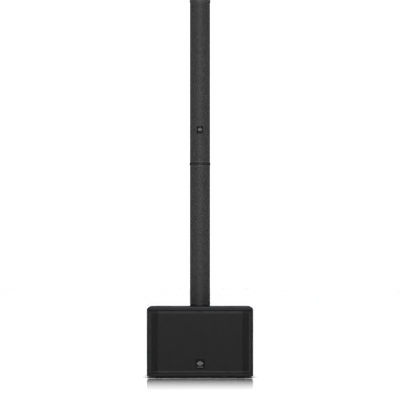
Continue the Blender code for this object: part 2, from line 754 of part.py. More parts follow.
def socket_connector(name, x, z):
    """A panel connector: a square flange, a round body behind it and the round mouth of its socket."""
    front = REAR_FACE + GAP
    wide, tall, thick = JACK_FLANGE
    at = (x, front + thick / 2, z)
    flange = prism(f"{name}_flange", [rectangle(wide, tall, 0.003)], thick, at, turn=FACE_FRONT)
    body = cylinder(f"{name}_body", JACK_BODY_R, (x, front + 0.0010, z), (x, front - 0.0240, z), 20)
    mouth = cylinder(f"{name}_mouth", JACK_MOUTH_R, (x, front + 0.0200, z), (x, front - 0.0150, z), 20)
    combine(flange, body, "UNION")
    combine(flange, mouth)
    return joined(name, flange, material=TRIM)


def mains_inlet():
    x, z = INLET_AT
    front = REAR_FACE + GAP
    wide, tall, thick = INLET_FLANGE
    at = (x, front + thick / 2, z)
    flange = prism("inlet_flange", [rectangle(wide, tall, 0.005)], thick, at, turn=FACE_FRONT)
    shapes = []
    for name, size, reach in (("inlet_body", INLET_BODY, 0.001), ("inlet_mouth", INLET_MOUTH, 0.020)):
        half, up, deep = size[0] / 2, size[1] / 2, size[2]
        shapes.append(box(name, (x - half, front - deep, z - up), (x + half, front + reach, z + up)))
    body, mouth = shapes
    combine(flange, body, "UNION")
    combine(flange, mouth)
    return joined("mains_inlet", flange, material=TRIM)


def power_rocker():
    """A see-saw switch shown at off, tilted about its pivot. Its outline is the two faces of a
    shallow V over a round foot."""
    x, z = ROCKER_AT
    width, height = ROCKER_SIZE
    half = height / 2
    rise = half * math.tan(ROCKER_TILT)
    outline = [
        (half, -0.0010), (half, 0.0025 + rise), (0.0, 0.0025), (-half, 0.0025 + rise), (-half, -0.0010),
        (-0.0050, -0.0060), (0.0050, -0.0060),
    ]
    lay = Matrix.Rotation(math.radians(-90), 4, "Y")  # turns the outline's length upright
    turn = Matrix.Rotation(-ROCKER_TILT, 4, "X") @ lay
    return prism("power_rocker", [outline], width, (x, REAR_FACE - 0.0005, z), TRIM, turn)


# ---- Columns ---------------------------------------------------------------------------------

def nose_arc(half_width, edge, nose, steps=12):
    """Points of the arc from left to right through two edge points and the nose between them."""
    rise = edge - nose
    radius = (half_width ** 2 + rise ** 2) / (2 * rise)
    reach = math.asin(half_width / radius)
    angles = [reach * (2 * k / steps - 1) for k in range(steps + 1)]
    return [(radius * math.sin(a), nose + radius * (1 - math.cos(a))) for a in angles]


def column_plan(grow):
    """The column's outer outline, grown all round."""
    half, corner = COLUMN_HALF_W + grow, COLUMN_CORNER_R + grow
    back = rounded(
        [(half, COLUMN_LIP, 0), (half, COLUMN_BACK + grow, corner), (-half, COLUMN_BACK + grow, corner),
         (-half, COLUMN_LIP, 0)],
        steps=4,
    )
    return nose_arc(half, COLUMN_LIP, COLUMN_NOSE - grow, 10) + back[1:-1]


def column_housing(name, low, high, openings):
    """An extruded box with a front web for the drivers, and side walls that run on past the web to
    hold the grille."""
    half, wall = COLUMN_HALF_W, COLUMN_WALL
    lip = half - 0.0035
    outer = rounded([
        (-lip, COLUMN_LIP, 0), (-lip, WEB_FRONT, 0), (lip, WEB_FRONT, 0), (lip, COLUMN_LIP, 0),
        (half, COLUMN_LIP, 0), (half, COLUMN_BACK, COLUMN_CORNER_R),
        (-half, COLUMN_BACK, COLUMN_CORNER_R), (-half, COLUMN_LIP, 0),
    ], 4)
    inner = rounded([
        (-half + wall, WEB_FRONT + wall, 0), (half - wall, WEB_FRONT + wall, 0),
        (half - wall, COLUMN_BACK - wall, COLUMN_CORNER_R - wall),
        (-half + wall, COLUMN_BACK - wall, COLUMN_CORNER_R - wall),
    ], 4)
    housing = prism(name, [outer, inner], high - low, (0, COLUMN_Y, (low + high) / 2), COLUMN)
    return combine(housing, cutter_set(f"{name}_holes", openings))


def driver_hole(name, z):
    y = COLUMN_Y + WEB_FRONT
    return cylinder(name, DRIVER_HOLE_R, (0, y - 0.02, z), (0, y + 0.02, z), 16)


def column_driver(name, z):
    """A 70 mm class full-range driver: frame, cone and magnet."""
    profile = [
        (0.0, -0.0040), (0.0115, -0.0085), (0.0290, -0.0010), (0.0340, 0.0030), (DRIVER_R, 0.0030),
        (DRIVER_R, 0.0), (0.0340, 0.0), (0.0225, -0.0220), (0.0240, -0.0420), (0.0, -0.0420),
    ]
    return turned(name, profile, (0, COLUMN_Y + WEB_FRONT - GAP, z), FRAME, steps=16)


def column_grille(name, low, high):
    edge = COLUMN_HALF_W - COLUMN_GRILLE_INSET
    arc = nose_arc(edge, COLUMN_LIP + 0.0010, COLUMN_NOSE)
    back = WEB_FRONT - GAP
    path = [(-edge, back)] + arc + [(edge, back)]
    return bent_sheet(name, [(x, y + COLUMN_Y) for x, y in path], low, high, 0.0012, GRILLE)


def tweeter_horn(z):
    """A compression tweeter behind a flared rectangular mouth."""
    width, height = TWEETER_SIZE
    y = COLUMN_Y + WEB_FRONT - GAP
    at = (0, y - 0.0020, z)
    plate = prism("horn_plate", [rectangle(width, height, 0.004)], 0.0040, at, turn=FACE_FRONT)
    body = box("horn_body", (-0.036, y - 0.0010, z - 0.062), (0.036, y + 0.0340, z + 0.062))
    motor = cylinder("horn_motor", 0.026, (0, y + 0.0330, z), (0, y + 0.0620, z), 16)
    bm = bmesh.new()
    bmesh.ops.create_cone(bm, cap_ends=True, segments=4, radius1=0.016, radius2=0.052, depth=0.030)
    spin = FACE_FRONT @ Matrix.Diagonal((0.9, 1.55, 1.0, 1.0)) @ Matrix.Rotation(math.radians(45), 4, "Z")
    flare = from_bmesh("horn_flare", bm, None, (0, y + 0.0106, z), spin)
    throat = cylinder("horn_throat", 0.010, (0, y, z), (0, y + 0.0400, z), 12)
    combine(plate, body, "UNION")
    combine(plate, motor, "UNION")
    combine(plate, flare)
    combine(plate, throat)
    return joined("tweeter_horn", plate, material=TRIM)


def plate_with(name, z, height, grow):
    """A plate with the column's outline, standing on a height."""
    return prism(name, [column_plan(grow)], height, (0, COLUMN_Y, z + height / 2))


def pin(name, size, y, low, high, grow=0.0, bevel=0.0):
    """An upright block of a given plan size, grown all round, between two heights."""
    wide, deep = size[0] / 2 + grow, size[1] / 2 + grow
    return box(name, (-wide, y - deep, low), (wide, y + deep, high), bevel=bevel)


def lower_base(z):
    """The plate under the lower column, with the spigot that drops into the base unit."""
    plate = plate_with("base_plate", z, BASE_PLATE_H, 0)
    spigot = pin("base_spigot", SPIGOT, COLUMN_Y, CAB_TOP - SPIGOT[2], z + 0.002, bevel=0.003)
    return joined("lower_column_base", plate, spigot, material=TRIM)


def collar():
    """The collar on the lower column, with the pocket for the upper column's plug."""
    plate = plate_with("collar_plate", LOWER_TOP, COLLAR_H, CAP_OVERHANG)
    y, depth = COLUMN_Y + PLUG_Y, PLUG[2]
    boss = pin("collar_boss", PLUG, y, LOWER_TOP - depth, LOWER_TOP + 0.001, 0.004)
    floor = LOWER_TOP + COLLAR_H - depth - 0.003
    combine(plate, boss, "UNION")
    combine(plate, pin("collar_pocket", PLUG, y, floor, LOWER_TOP + 0.05, SPIGOT_PLAY))
    return joined("lower_column_collar", plate, material=TRIM)


def upper_base(z):
    """The plate under the upper column, with its plug."""
    plate = plate_with("upper_base_plate", z, UPPER_BASE_H, CAP_OVERHANG)
    plug = pin("upper_base_plug", PLUG, COLUMN_Y + PLUG_Y, z - PLUG[2], z + 0.002, bevel=0.002)
    return joined("upper_column_base", plate, plug, material=TRIM)


def end_cap(z):
    """The cap on the upper column, with its upper rim rounded."""
    cap = prism("upper_column_cap", [column_plan(CAP_OVERHANG)], CAP_H, (0, COLUMN_Y, z + CAP_H / 2), TRIM)
    top = CAP_H / 2
    bm = bmesh.new()
    bm.from_mesh(cap.data)
    rim = [e for e in bm.edges if len(e.link_faces) == 2 and all(abs(v.co.z - top) < 1e-5 for v in e.verts)]
    rim = [e for e in rim if e.calc_face_angle() > 1.0]
    bmesh.ops.bevel(bm, geom=rim, offset=CAP_ROLL, segments=3, affect="EDGES", profile=0.5)
    bm.to_mesh(cap.data)
    bm.free()
    return cap


def column_badge():
    """A small plate that follows the curve of the grille just in front of it."""
    rise = COLUMN_LIP + 0.0010 - COLUMN_NOSE
    grille_edge = COLUMN_HALF_W - COLUMN_GRILLE_INSET
    stand_off = GAP + COLUMN_BADGE_T
    radius = (grille_edge ** 2 + rise ** 2) / (2 * rise) + stand_off
    half, nose = COLUMN_BADGE_HALF_W, COLUMN_NOSE - stand_off
    edge = nose + radius - math.sqrt(radius ** 2 - half ** 2)
    path = [(x, y + COLUMN_Y) for x, y in nose_arc(half, edge, nose, 6)]
    return bent_sheet("upper_column_badge", path, *COLUMN_BADGE_Z, COLUMN_BADGE_T, BADGE)


def lower_column():
    """The lower module: it drops into the base unit, and its collar takes the upper module."""
    base_low = CAB_TOP + GAP
    low, high = base_low + BASE_PLATE_H + GAP, LOWER_TOP - GAP
    middle = (low + high) / 2
    rows = [middle + (i - (LOWER_DRIVERS - 1) / 2) * LOWER_PITCH for i in range(LOWER_DRIVERS)]
    holes = [driver_hole(f"lower_hole_{i}", z) for i, z in enumerate(rows)]
    drivers = [column_driver(f"lower_driver_{i + 1}", z) for i, z in enumerate(rows)]
    housing = column_housing("lower_column_housing", low, high, holes)
    grille = column_grille("lower_column_grille", low, high)
    return [housing, grille, lower_base(base_low), collar(), *drivers]


def upper_column():
    """The upper module: its plug sits in the collar, and a cap closes its top."""
    base_low = LOWER_TOP + COLLAR_H + GAP
    low, high = base_low + UPPER_BASE_H + GAP, UPPER_TOP
    rows = [low + UPPER_FIRST + i * UPPER_PITCH for i in range(UPPER_DRIVERS)]
    horn_z = rows[-1] + TWEETER_RISE
    holes = [driver_hole(f"upper_hole_{i}", z) for i, z in enumerate(rows)]
    half, up, y = 0.0365, 0.0625, COLUMN_Y + WEB_FRONT
    holes.append(box("horn_hole", (-half, y - 0.02, horn_z - up), (half, y + 0.02, horn_z + up)))
    drivers = [column_driver(f"upper_driver_{i + 1}", z) for i, z in enumerate(rows)]
    housing = column_housing("upper_column_housing", low, high, holes)
    grille = column_grille("upper_column_grille", low, high)
    cap = end_cap(high + GAP)
    return [housing, grille, upper_base(base_low), cap, column_badge(), tweeter_horn(horn_z), *drivers]


# ---- Assembly --------------------------------------------------------------------------------

def base_unit():
    cabinet_shell()
    feet()
    for side, sign in (("left", -1), ("right", 1)):
        handle(side, sign)
        woofer(side, sign * WOOFER_X)
    column_socket()
    front_baffle()
    front_grille()
    grille_foam()
    port_tube("upper", 1)
    port_tube("lower", -1)
    front_badge()
    amp_panel()
    heat_sink()
    circuit_board()
    display_and_buttons()
    encoder()
    for channel, x in zip("ab", JACK_X):
        gain_knob(channel, x)
        socket_connector(f"combo_jack_{channel}", x, COMBO_Z)
        socket_connector(f"link_jack_{channel}", x, LINK_Z)
    mains_inlet()
    power_rocker()


def main():
    base_unit()
    lower_axis = hang("lower_column_axis", lower_column(), (0, COLUMN_Y, CAB_TOP))
    hang("upper_column_axis", upper_column(), (0, COLUMN_Y, LOWER_TOP + COLLAR_H), lower_axis)
    for obj in PARTS.objects:
        if obj.type == "MESH" and obj.data.polygons:
            obj.data.shade_smooth()
            obj.data.set_sharp_from_angle(angle=math.radians(35))


main()
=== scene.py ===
import math

import bmesh
import bpy
from mathutils import Matrix, Vector


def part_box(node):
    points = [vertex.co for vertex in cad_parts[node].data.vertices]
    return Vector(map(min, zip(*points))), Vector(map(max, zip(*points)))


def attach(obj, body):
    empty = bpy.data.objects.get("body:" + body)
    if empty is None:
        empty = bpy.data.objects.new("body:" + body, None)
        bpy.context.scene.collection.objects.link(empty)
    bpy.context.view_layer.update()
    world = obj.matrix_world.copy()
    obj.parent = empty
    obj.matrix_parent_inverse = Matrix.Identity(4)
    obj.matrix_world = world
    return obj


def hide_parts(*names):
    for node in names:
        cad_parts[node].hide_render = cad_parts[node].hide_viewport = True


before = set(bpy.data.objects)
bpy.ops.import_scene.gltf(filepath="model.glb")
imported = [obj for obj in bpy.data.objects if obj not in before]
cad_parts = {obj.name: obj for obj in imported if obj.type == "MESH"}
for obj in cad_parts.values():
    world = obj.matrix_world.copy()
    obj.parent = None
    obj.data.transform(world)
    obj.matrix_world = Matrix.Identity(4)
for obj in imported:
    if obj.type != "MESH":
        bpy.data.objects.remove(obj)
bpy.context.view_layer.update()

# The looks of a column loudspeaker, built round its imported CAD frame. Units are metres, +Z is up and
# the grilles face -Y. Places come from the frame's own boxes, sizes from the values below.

# ---- Sizes -------------------------------------------------------------------

GAP = 0.0003  # between pieces that fit into each other

# Base unit
FACET_X = 0.238  # half width of the flat middle of the front
FACET_BACK = 0.024  # how far the facets beside it run back at the corners
FACET_R = 0.020  # where the flat middle meets the facets
CORNER_R = 0.022
TOP_ROLL = (0.022, 0.014, 0.016)  # side inset, front inset and height of the top edge's quarter ellipse
FOOT_ROLL = (0.018, 0.030, 0.009)  # the same for the bottom edge
WALL = 0.009  # thickness of the cabinet
GROOVE = 0.0015  # gap round the front grille
FRONT_LEDGE = 0.012  # width and thickness of the ledge inside the front opening
BROW_CHAMFER = 0.0062  # depth and height of the slope over the front opening
RIM_W = 0.027  # width of the rim round the recess at the back
PANEL_LAP = 0.012  # how far the amplifier panel overlaps the hole behind it

# Handles
HANDLE_HOLE = (0.0535, 0.0515)  # half width and half depth of the hole in the cabinet
HANDLE_CUP = (0.104, 0.100)  # outside width and depth
HANDLE_WALL = 0.0025
GRIP_R = 0.0100
GRIP_FLUTES = (20, 0.0007)  # count and depth

# Column socket
SOCKET_HOLE = (0.0536, 0.0416)  # half width and half depth of the hole in the cabinet
SOCKET_BODY = (0.106, 0.082, 0.004)  # width, depth and corner
SOCKET_POCKET = (0.0816, 0.0576, 0.003)
POCKET_DEPTH = 0.063
CONTACT_PITCH = (0.010, 0.012)  # across and between the two rows of contacts

# Perforated sheets
BASS_PITCH = 0.0065
BASS_HOLE = 0.0026  # radius of the hexagonal holes' corners
BASS_MARGIN = (0.0025, 0.0085)  # plain margins at the sides, and at the top and bottom
BASS_STRIP = 0.0085  # flat strips beyond the facets, which face the front again
BASS_BEND_R = 0.0025
BASS_RETURN = 0.008  # how far the sides run back
BASS_ROLL = 0.002  # radius of the top and bottom edges
COLUMN_PITCH = 0.0050
COLUMN_HOLE = 0.0016
COLUMN_MARGIN = (0.004, 0.006)
COLUMN_ROLL = 0.0012
ROLL_RUN = 0.003  # how far the sheet runs back past such a roll
SHEET_T = 0.0014

# Columns
COLUMN_WALL = 0.0025
COLUMN_CORNER_R = 0.016
COLUMN_GRILLE_INSET = 0.0038  # of the grille's edges inside the housing's sides
COLUMN_LIP_W = 0.0035  # width of the housing's lip at each side of the grille
GRILLE_SET_BACK = 0.0010  # of the grille's edges behind that lip
DRIVER_HOLE_R = 0.0352
HORN_HOLE = (0.0365, 0.0625)  # half width and half height
SPIGOT = (0.080, 0.056, 0.004)  # width, depth and corner, as in the three below
BOSS = (0.0684, 0.0384, 0.003)
PLUG_POCKET = (0.0620, 0.0320, 0.002)
PLUG = (0.0604, 0.0304, 0.003)
PLUG_SET_BACK = 0.034  # of the upper column's plug behind the middle of the lower one's spigot
STEM_LAP = 0.002  # how far a spigot, boss or plug reaches into its plate

# Tolerance for points that count as one
TINY = 1e-7

# Fasteners
GRILLE_SCREW_R = 0.0042
GRILLE_SCREW_X = 0.155  # of the outer screws in the top and bottom rows
GRILLE_SCREW_DZ = 0.056  # of the side screws over and under the grille's middle
GRILLE_SCREW_INSET = (0.0048, 0.0052)  # from the grille's side edges, and from its top and bottom
PANEL_SCREW_R = 0.0036
PANEL_SCREW_INSET = 0.006

# Amplifier panel
BEZEL_W = 0.0034
BEZEL_CLEAR = 0.0008  # between the display's edges and its bezel, both sides together
ROCKER_OPENING = (0.0137, 0.0230)
CONTACT_ANGLES = (90, 210, 330)  # degrees, of an audio socket's three contacts

# Badges
EMBLEM_BARS = (0.010, 0.019, 0.028, 0.019, 0.010)  # heights of the bars, left to right
EMBLEM_BAR = (0.0044, 0.0021, 0.0072)  # width, corner and pitch of the bars
COLUMN_EMBLEM_SCALE = 0.72

# Surfaces
CONE_EDGE = (0.0885, 0.0900)  # metres from a cone's middle over which its paper turns into rubber
NOISE_RANGE = (0.3, 0.7)  # between which most of a noise texture's values lie

# Studio floor
FLOOR_SIZE = 60.0  # half width
FLOOR_FADE = 2.6  # metres from the base unit over which the mirror fades
FLOOR_CLEAR = 0.03  # metres from the base unit over which the mirror starts
FLOOR_CURVE = 2.1  # exponent of that fading
FLOOR_GRAZING = 4.0  # exponent of the rise towards low angles
FLOOR_MIRROR = 1.28  # strength of the mirror before it is limited
FLOOR_MOST = 0.92  # limit of the mirrored share

# Studio lights
WALL_LIGHT = 1.1  # strengths of the world's white, near the horizon and overhead
CEILING_LIGHT = 0.05
WALL_EDGE = (0.10, 0.20)  # sine of the elevation where the walls start and stop fading into the ceiling
OVERHEAD_LIGHT = 3.52
OVERHEAD_ANGLE = 60  # degrees across
KEY_PLACE = (0.0, -5.0, 2.0)
KEY_AIM = (0.0, 0.0, 1.1)
KEY_SIZE = (1.5, 3.0)
KEY_POWER = 114.0

# Camera
CAMERA_DISTANCE = 15.0  # from the cabinet's front
CAMERA_HEIGHT = 0.631
CAMERA_LENS = 240.6  # millimetres, on the sensor below
CAMERA_SENSOR = 36.0
AIM_HEIGHT = 1.0  # of the point that the camera looks at

FACE_FRONT = Matrix.Rotation(math.radians(90), 4, "X")  # turns local +Z to -Y
FACE_REAR = Matrix.Rotation(math.radians(-90), 4, "X")  # turns local +Z to +Y


# ---- Frame places ------------------------------------------------------------

def facing_rear(x, y, z):
    """Local +Z turned to the rear, at a place."""
    return Matrix.Translation((x, y, z)) @ FACE_REAR


def facing_front(x, y, z):
    """Local +Z turned to the front, at a place."""
    return Matrix.Translation((x, y, z)) @ FACE_FRONT


class Box:
    """A CAD node's box, with its corners and middle."""

    def __init__(self, node):
        self.low, self.high = (Vector(corner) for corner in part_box(node))
        self.middle = (self.low + self.high) / 2
        self.size = self.high - self.low


CABINET = Box("cabinet_shell")
BASS_GRILLE = Box("front_grille")
PANEL = Box("amp_panel")
SOCKET = Box("column_socket")
REAR_FACE = PANEL.high.y
COLUMN = Box("lower_column_housing")
COLUMN_HALF = COLUMN.size.x / 2
COLUMN_LIP = COLUMN.low.y
COLUMN_BACK = COLUMN.high.y
COLUMN_NOSE = Box("lower_column_grille").low.y
PLUG_Y = SOCKET.middle.y + PLUG_SET_BACK
FACET_SLOPE = FACET_BACK / (CABINET.high.x - FACET_X)
OPENING_HALF = BASS_GRILLE.high.x + GROOVE


# ---- Materials ---------------------------------------------------------------

class Surface:
    """A Principled material that is built up one effect at a time."""

    def __init__(self, name, colour, roughness, metallic=0.0, **sockets):
        self.material = bpy.data.materials.new(name)
        self.material.use_nodes = True
        self.tree = self.material.node_tree
        self.shader = self.tree.nodes["Principled BSDF"]
        self.colour, self.roughness = colour, roughness
        self.set("Base Color", (*colour, 1.0))
        self.set("Roughness", roughness)
        self.set("Metallic", metallic)
        for socket, value in sockets.items():
            self.set(socket.replace("_", " "), value)
        self.height = None

    def set(self, socket, value):
        self.shader.inputs[socket].default_value = value

    def node(self, kind, **values):
        made = self.tree.nodes.new(kind)
        for key, value in values.items():
            if hasattr(made, key):
                setattr(made, key, value)
            else:
                made.inputs[key.replace("_", " ")].default_value = value
        return made

    def link(self, output, socket):
        self.tree.links.new(output, socket)

    def place(self, stretch=(1, 1, 1)):
        """Object coordinates in metres, stretched along the axes."""
        where = self.node("ShaderNodeTexCoord")
        scaled = self.node("ShaderNodeMapping")
        scaled.inputs["Scale"].default_value = stretch
        self.link(where.outputs["Object"], scaled.inputs["Vector"])
        return scaled.outputs["Vector"]

    def noise(self, scale, detail=3.0, stretch=(1, 1, 1)):
        texture = self.node("ShaderNodeTexNoise", Scale=scale, Detail=detail)
        self.link(self.place(stretch), texture.inputs["Vector"])
        return texture.outputs["Fac"]

    def cells(self, scale, stretch=(1, 1, 1)):
        texture = self.node("ShaderNodeTexVoronoi", Scale=scale)
        self.link(self.place(stretch), texture.inputs["Vector"])
        return texture.outputs["Distance"]

    def math(self, operation, *values, kind="ShaderNodeMath", output="Value"):
        """The output of a math node, fed with outputs and constants."""
        made = self.node(kind, operation=operation)
        for socket, value in zip(made.inputs, values):
            if isinstance(value, bpy.types.NodeSocket):
                self.link(value, socket)
            else:
                socket.default_value = value
        return made.outputs[output]

    def vector_math(self, operation, *values, output="Vector"):
        return self.math(operation, *values, kind="ShaderNodeVectorMath", output=output)

    def map_range(self, value, source, target):
        """A value mapped from one (low, high) range to another."""
        made = self.node("ShaderNodeMapRange")
        for socket, end in zip(("From Min", "From Max", "To Min", "To Max"), (*source, *target)):
            made.inputs[socket].default_value = end
        self.link(value, made.inputs["Value"])
        return made.outputs["Result"]

    def mottle(self, spread, scale, stretch=(1, 1, 1)):
        """The colour wanders by a share of itself to each side."""
        ramp = self.node("ShaderNodeValToRGB")
        for element, position, side in zip(ramp.color_ramp.elements, NOISE_RANGE, (-1, 1)):
            element.position = position
            element.color = (*(c * (1 + side * spread) for c in self.colour), 1.0)
        self.link(self.noise(scale, 4.0, stretch), ramp.inputs["Fac"])
        self.link(ramp.outputs["Color"], self.shader.inputs["Base Color"])

    def vary_gloss(self, spread, scale, stretch=(1, 1, 1)):
        """The roughness wanders by this much to each side."""
        ends = (self.roughness - spread, self.roughness + spread)
        gloss = self.map_range(self.noise(scale, 3.0, stretch), NOISE_RANGE, ends)
        self.link(gloss, self.shader.inputs["Roughness"])

    def bump(self, height, distance, strength=1.0):
        """Relief of this height in metres from a height output. Further calls add to it."""
        relief = self.node("ShaderNodeBump", Distance=distance, Strength=strength)
        self.link(height, relief.inputs["Height"])
        if self.height:
            self.link(self.height, relief.inputs["Normal"])
        self.height = relief.outputs["Normal"]
        self.link(self.height, self.shader.inputs["Normal"])


def finish(name, colour, roughness, mottle, gloss, relief, metallic=0.0, **sockets):
    """A surface whose colour and gloss wander, with a relief of (noise's words, height, strength)."""
    made = Surface(name, colour, roughness, metallic, **sockets)
    made.mottle(*mottle)
    if gloss:
        made.vary_gloss(*gloss)
    noise, height, strength = relief
    made.bump(made.noise(*noise), height, strength)
    return made


def moulded(name, colour, roughness, grain=700, depth=0.00012, **sockets):
    """Textured plastic: a pebbled grain over faint flow marks."""
    made = Surface(name, colour, roughness, **sockets)
    made.mottle(0.05, 30.0)
    made.vary_gloss(0.02, 90.0)
    made.bump(made.cells(grain), depth, 0.8)
    made.bump(made.noise(grain * 2.3), depth * 0.5, 0.5)
    return made


def powder_coat(name, colour, roughness, **sockets):
    """Satin powder coat: a fine orange-peel skin with slight gloss variation."""
    relief = ((900, 2.0), 0.00008, 0.5)
    return finish(name, colour, roughness, (0.06, 25.0), (0.04, 60.0), relief, **sockets)


def cabinet_plastic():
    return moulded("cabinet_plastic", (0.0138, 0.0140, 0.0158), 0.60, 620, 0.0004,
                   Specular_IOR_Level=0.14)


def trim_plastic():
    return moulded("trim_plastic", (0.0090, 0.0091, 0.0100), 0.46, 1400, 0.00005, Specular_IOR_Level=0.22)


def cap_plastic():
    return moulded("cap_plastic", (0.0300, 0.0300, 0.0310), 0.44, 1400, 0.00005, Specular_IOR_Level=0.35)


def grille_paint():
    return powder_coat("grille_paint", (0.0112, 0.0112, 0.0112), 0.46, Specular_IOR_Level=0.19)


def column_grille_paint():
    return powder_coat("column_grille_paint", (0.0330, 0.0330, 0.0330), 0.52, Specular_IOR_Level=0.30)


def housing_paint():
    """Powder coat over an extrusion, with faint draw lines along it."""
    made = powder_coat("housing_paint", (0.0110, 0.0110, 0.0115), 0.70, Specular_IOR_Level=0.04)
    made.bump(made.noise(260, 1.0, (1, 1, 0.01)), 0.00006, 0.35)
    return made


def rubber():
    relief = ((1500, 4.0), 0.00015, 0.8)
    return finish("foot_rubber", (0.0070, 0.0070, 0.0072), 0.85, (0.20, 60.0), None, relief,
                  Specular_IOR_Level=0.2)


def foam():
    made = Surface("acoustic_foam", (0.0045, 0.0045, 0.0045), 0.97, Specular_IOR_Level=0.1)
    made.mottle(0.4, 900.0)
    made.bump(made.cells(900), 0.0006, 1.0)
    return made


def black_board():
    relief = ((300, 5.0, (1, 1, 8)), 0.0002, 0.5)
    return finish("black_board", (0.0120, 0.0115, 0.0110), 0.75, (0.25, 30.0, (1, 1, 6)), None, relief)


def cone_paper(side):
    """Coated paper cone, with a rubber surround round it."""
    middle = Box(f"woofer_cone_{side}").middle
    relief = ((500, 5.0), 0.0003, 0.6)
    made = finish(f"cone_{side}", (0.0200, 0.0198, 0.0195), 0.78, (0.18, 220.0), None, relief)
    where = made.node("ShaderNodeTexCoord").outputs["Object"]
    flat = made.vector_math("MULTIPLY", where, (1, 0, 1))
    apart = made.vector_math("DISTANCE", flat, (middle.x, 0, middle.z), output="Value")
    made.link(made.map_range(apart, CONE_EDGE, (0.80, 0.45)), made.shader.inputs["Roughness"])
    return made


def pressed_steel():
    relief = ((600, 3.0), 0.0001, 0.4)
    return finish("pressed_steel", (0.0300, 0.0300, 0.0310), 0.38, (0.12, 30.0), (0.06, 80.0), relief, 0.4)


def panel_paint():
    return powder_coat("panel_paint", (0.0170, 0.0170, 0.0180), 0.48)


def anodised():
    """Black anodised aluminium with its drawn grain upright."""
    relief = ((1200, 2.0, (1, 1, 0.02)), 0.00004, 0.5)
    return finish("anodised_black", (0.0260, 0.0260, 0.0280), 0.36, (0.15, 120.0, (1, 1, 0.03)),
                  (0.08, 400.0, (1, 1, 0.02)), relief, 0.85)


def circuit_green():
    """Solder mask over copper, with dark components in front of the board."""
    made = Surface("circuit_board", (0.0100, 0.0700, 0.0300), 0.40)
    made.mottle(0.35, 180.0)
    made.bump(made.cells(260), 0.0002, 0.7)
    return made


def display_glass():
    """A dark window over a faint dot matrix."""
    made = Surface("display_glass", (0.0060, 0.0085, 0.0130), 0.08, Coat_Weight=0.8, Coat_Roughness=0.04)
    dots = made.node(
        "ShaderNodeTexBrick", offset=0.0, Scale=1.0, Brick_Width=0.5, Row_Height=0.5, Mortar_Size=0.06,
        Color1=(0.0060, 0.0090, 0.0140, 1), Color2=(0.0070, 0.0105, 0.0160, 1),
        Mortar=(0.0030, 0.0040, 0.0060, 1),
    )
    upright = made.node("ShaderNodeMapping", Rotation=(math.radians(90), 0, 0), Scale=(900, 900, 900))
    where = made.node("ShaderNodeTexCoord")
    made.link(where.outputs["Object"], upright.inputs["Vector"])
    made.link(upright.outputs["Vector"], dots.inputs["Vector"])
    made.link(dots.outputs["Color"], made.shader.inputs["Base Color"])
    made.vary_gloss(0.03, 90.0)
    return made


def bright_metal(name, colour, roughness):
    relief = ((2500, 2.0), 0.00002, 0.4)
    return finish(name, colour, roughness, (0.08, 300.0), (0.06, 700.0), relief, 1.0)


def bright_steel():
    return bright_metal("bright_steel", (0.55, 0.55, 0.56), 0.27)


def brass():
    return bright_metal("contact_brass", (0.60, 0.45, 0.20), 0.28)


def black_screw():
    return bright_metal("black_zinc", (0.012, 0.012, 0.0125), 0.38)


def emblem_paint():
    """Grey enamel of the badge's bars."""
    relief = ((1800, 2.0), 0.00003, 0.4)
    return finish("emblem_enamel", (0.1600, 0.1600, 0.1620), 0.45, (0.06, 200.0), (0.05, 500.0), relief,
                  Specular_IOR_Level=0.3)


def badge_plate_finish():
    relief = ((1500, 2.0), 0.00003, 0.4)
    return finish("badge_plate", (0.0048, 0.0049, 0.0054), 0.60, (0.08, 100.0), (0.04, 200.0), relief,
                  Specular_IOR_Level=0.06)


def pointer_paint():
    relief = ((1500, 2.0), 0.00003, 0.4)
    return finish("pointer_paint", (0.6500, 0.6500, 0.6300), 0.50, (0.04, 500.0), None, relief)


def distance_from_base(made):
    """Metres along the floor from the base unit's footprint."""
    where = made.node("ShaderNodeTexCoord").outputs["Object"]
    away = made.vector_math("ABSOLUTE", where)
    past = made.vector_math("SUBTRACT", away, (CABINET.high.x, CABINET.high.y, 0.0))
    outside = made.vector_math("MAXIMUM", past, (0.0, 0.0, 0.0))
    return made.vector_math("LENGTH", outside, output="Value")


def floor_surface():
    """Glossy white floor: a mirror at low angles round the base unit, matt further out and under it."""
    made = Surface("studio_floor", (0.93, 0.93, 0.93), 0.60)
    away = distance_from_base(made)
    near = made.map_range(away, (0.0, FLOOR_FADE), (1.0, 0.0))
    facing = made.node("ShaderNodeLayerWeight", Blend=0.5).outputs["Facing"]
    share = made.math("MULTIPLY", made.math("POWER", near, FLOOR_CURVE), FLOOR_MIRROR)
    share = made.math("MULTIPLY", made.math("POWER", facing, FLOOR_GRAZING), share)
    share = made.math("MINIMUM", share, FLOOR_MOST)
    share = made.math("MULTIPLY", share, made.map_range(away, (0.0, FLOOR_CLEAR), (0.0, 1.0)))
    mirror = made.node("ShaderNodeBsdfGlossy", Roughness=0.10, Color=(1, 1, 1, 1))
    mix = made.node("ShaderNodeMixShader")
    for output, socket in zip((share, made.shader.outputs["BSDF"], mirror.outputs["BSDF"]), mix.inputs):
        made.link(output, socket)
    made.link(mix.outputs["Shader"], made.tree.nodes["Material Output"].inputs["Surface"])
    return made


SURFACES = {}


def look(maker, *words):
    """The material that a maker builds, made once."""
    key = (maker.__name__, *words)
    if key not in SURFACES:
        SURFACES[key] = maker(*words).material
    return SURFACES[key]


# ---- Shapes ------------------------------------------------------------------

def finish_piece(obj, maker, body="base_unit", replaces=(), sharp=35):
    """Gives a new piece its material and smooth shading, hangs it on its body and hides the CAD nodes that
    it stands for.
    """
    obj.data.materials.clear()
    obj.data.materials.append(look(*maker) if isinstance(maker, tuple) else look(maker))
    obj.data.shade_smooth()
    obj.data.set_sharp_from_angle(angle=math.radians(sharp))
    if replaces:
        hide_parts(*replaces)
    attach(obj, body)
    return obj


def trim_piece(obj, node, body="base_unit"):
    """Finishes a piece of black trim plastic that stands for one CAD node."""
    finish_piece(obj, trim_plastic, body, replaces=[node], sharp=30)


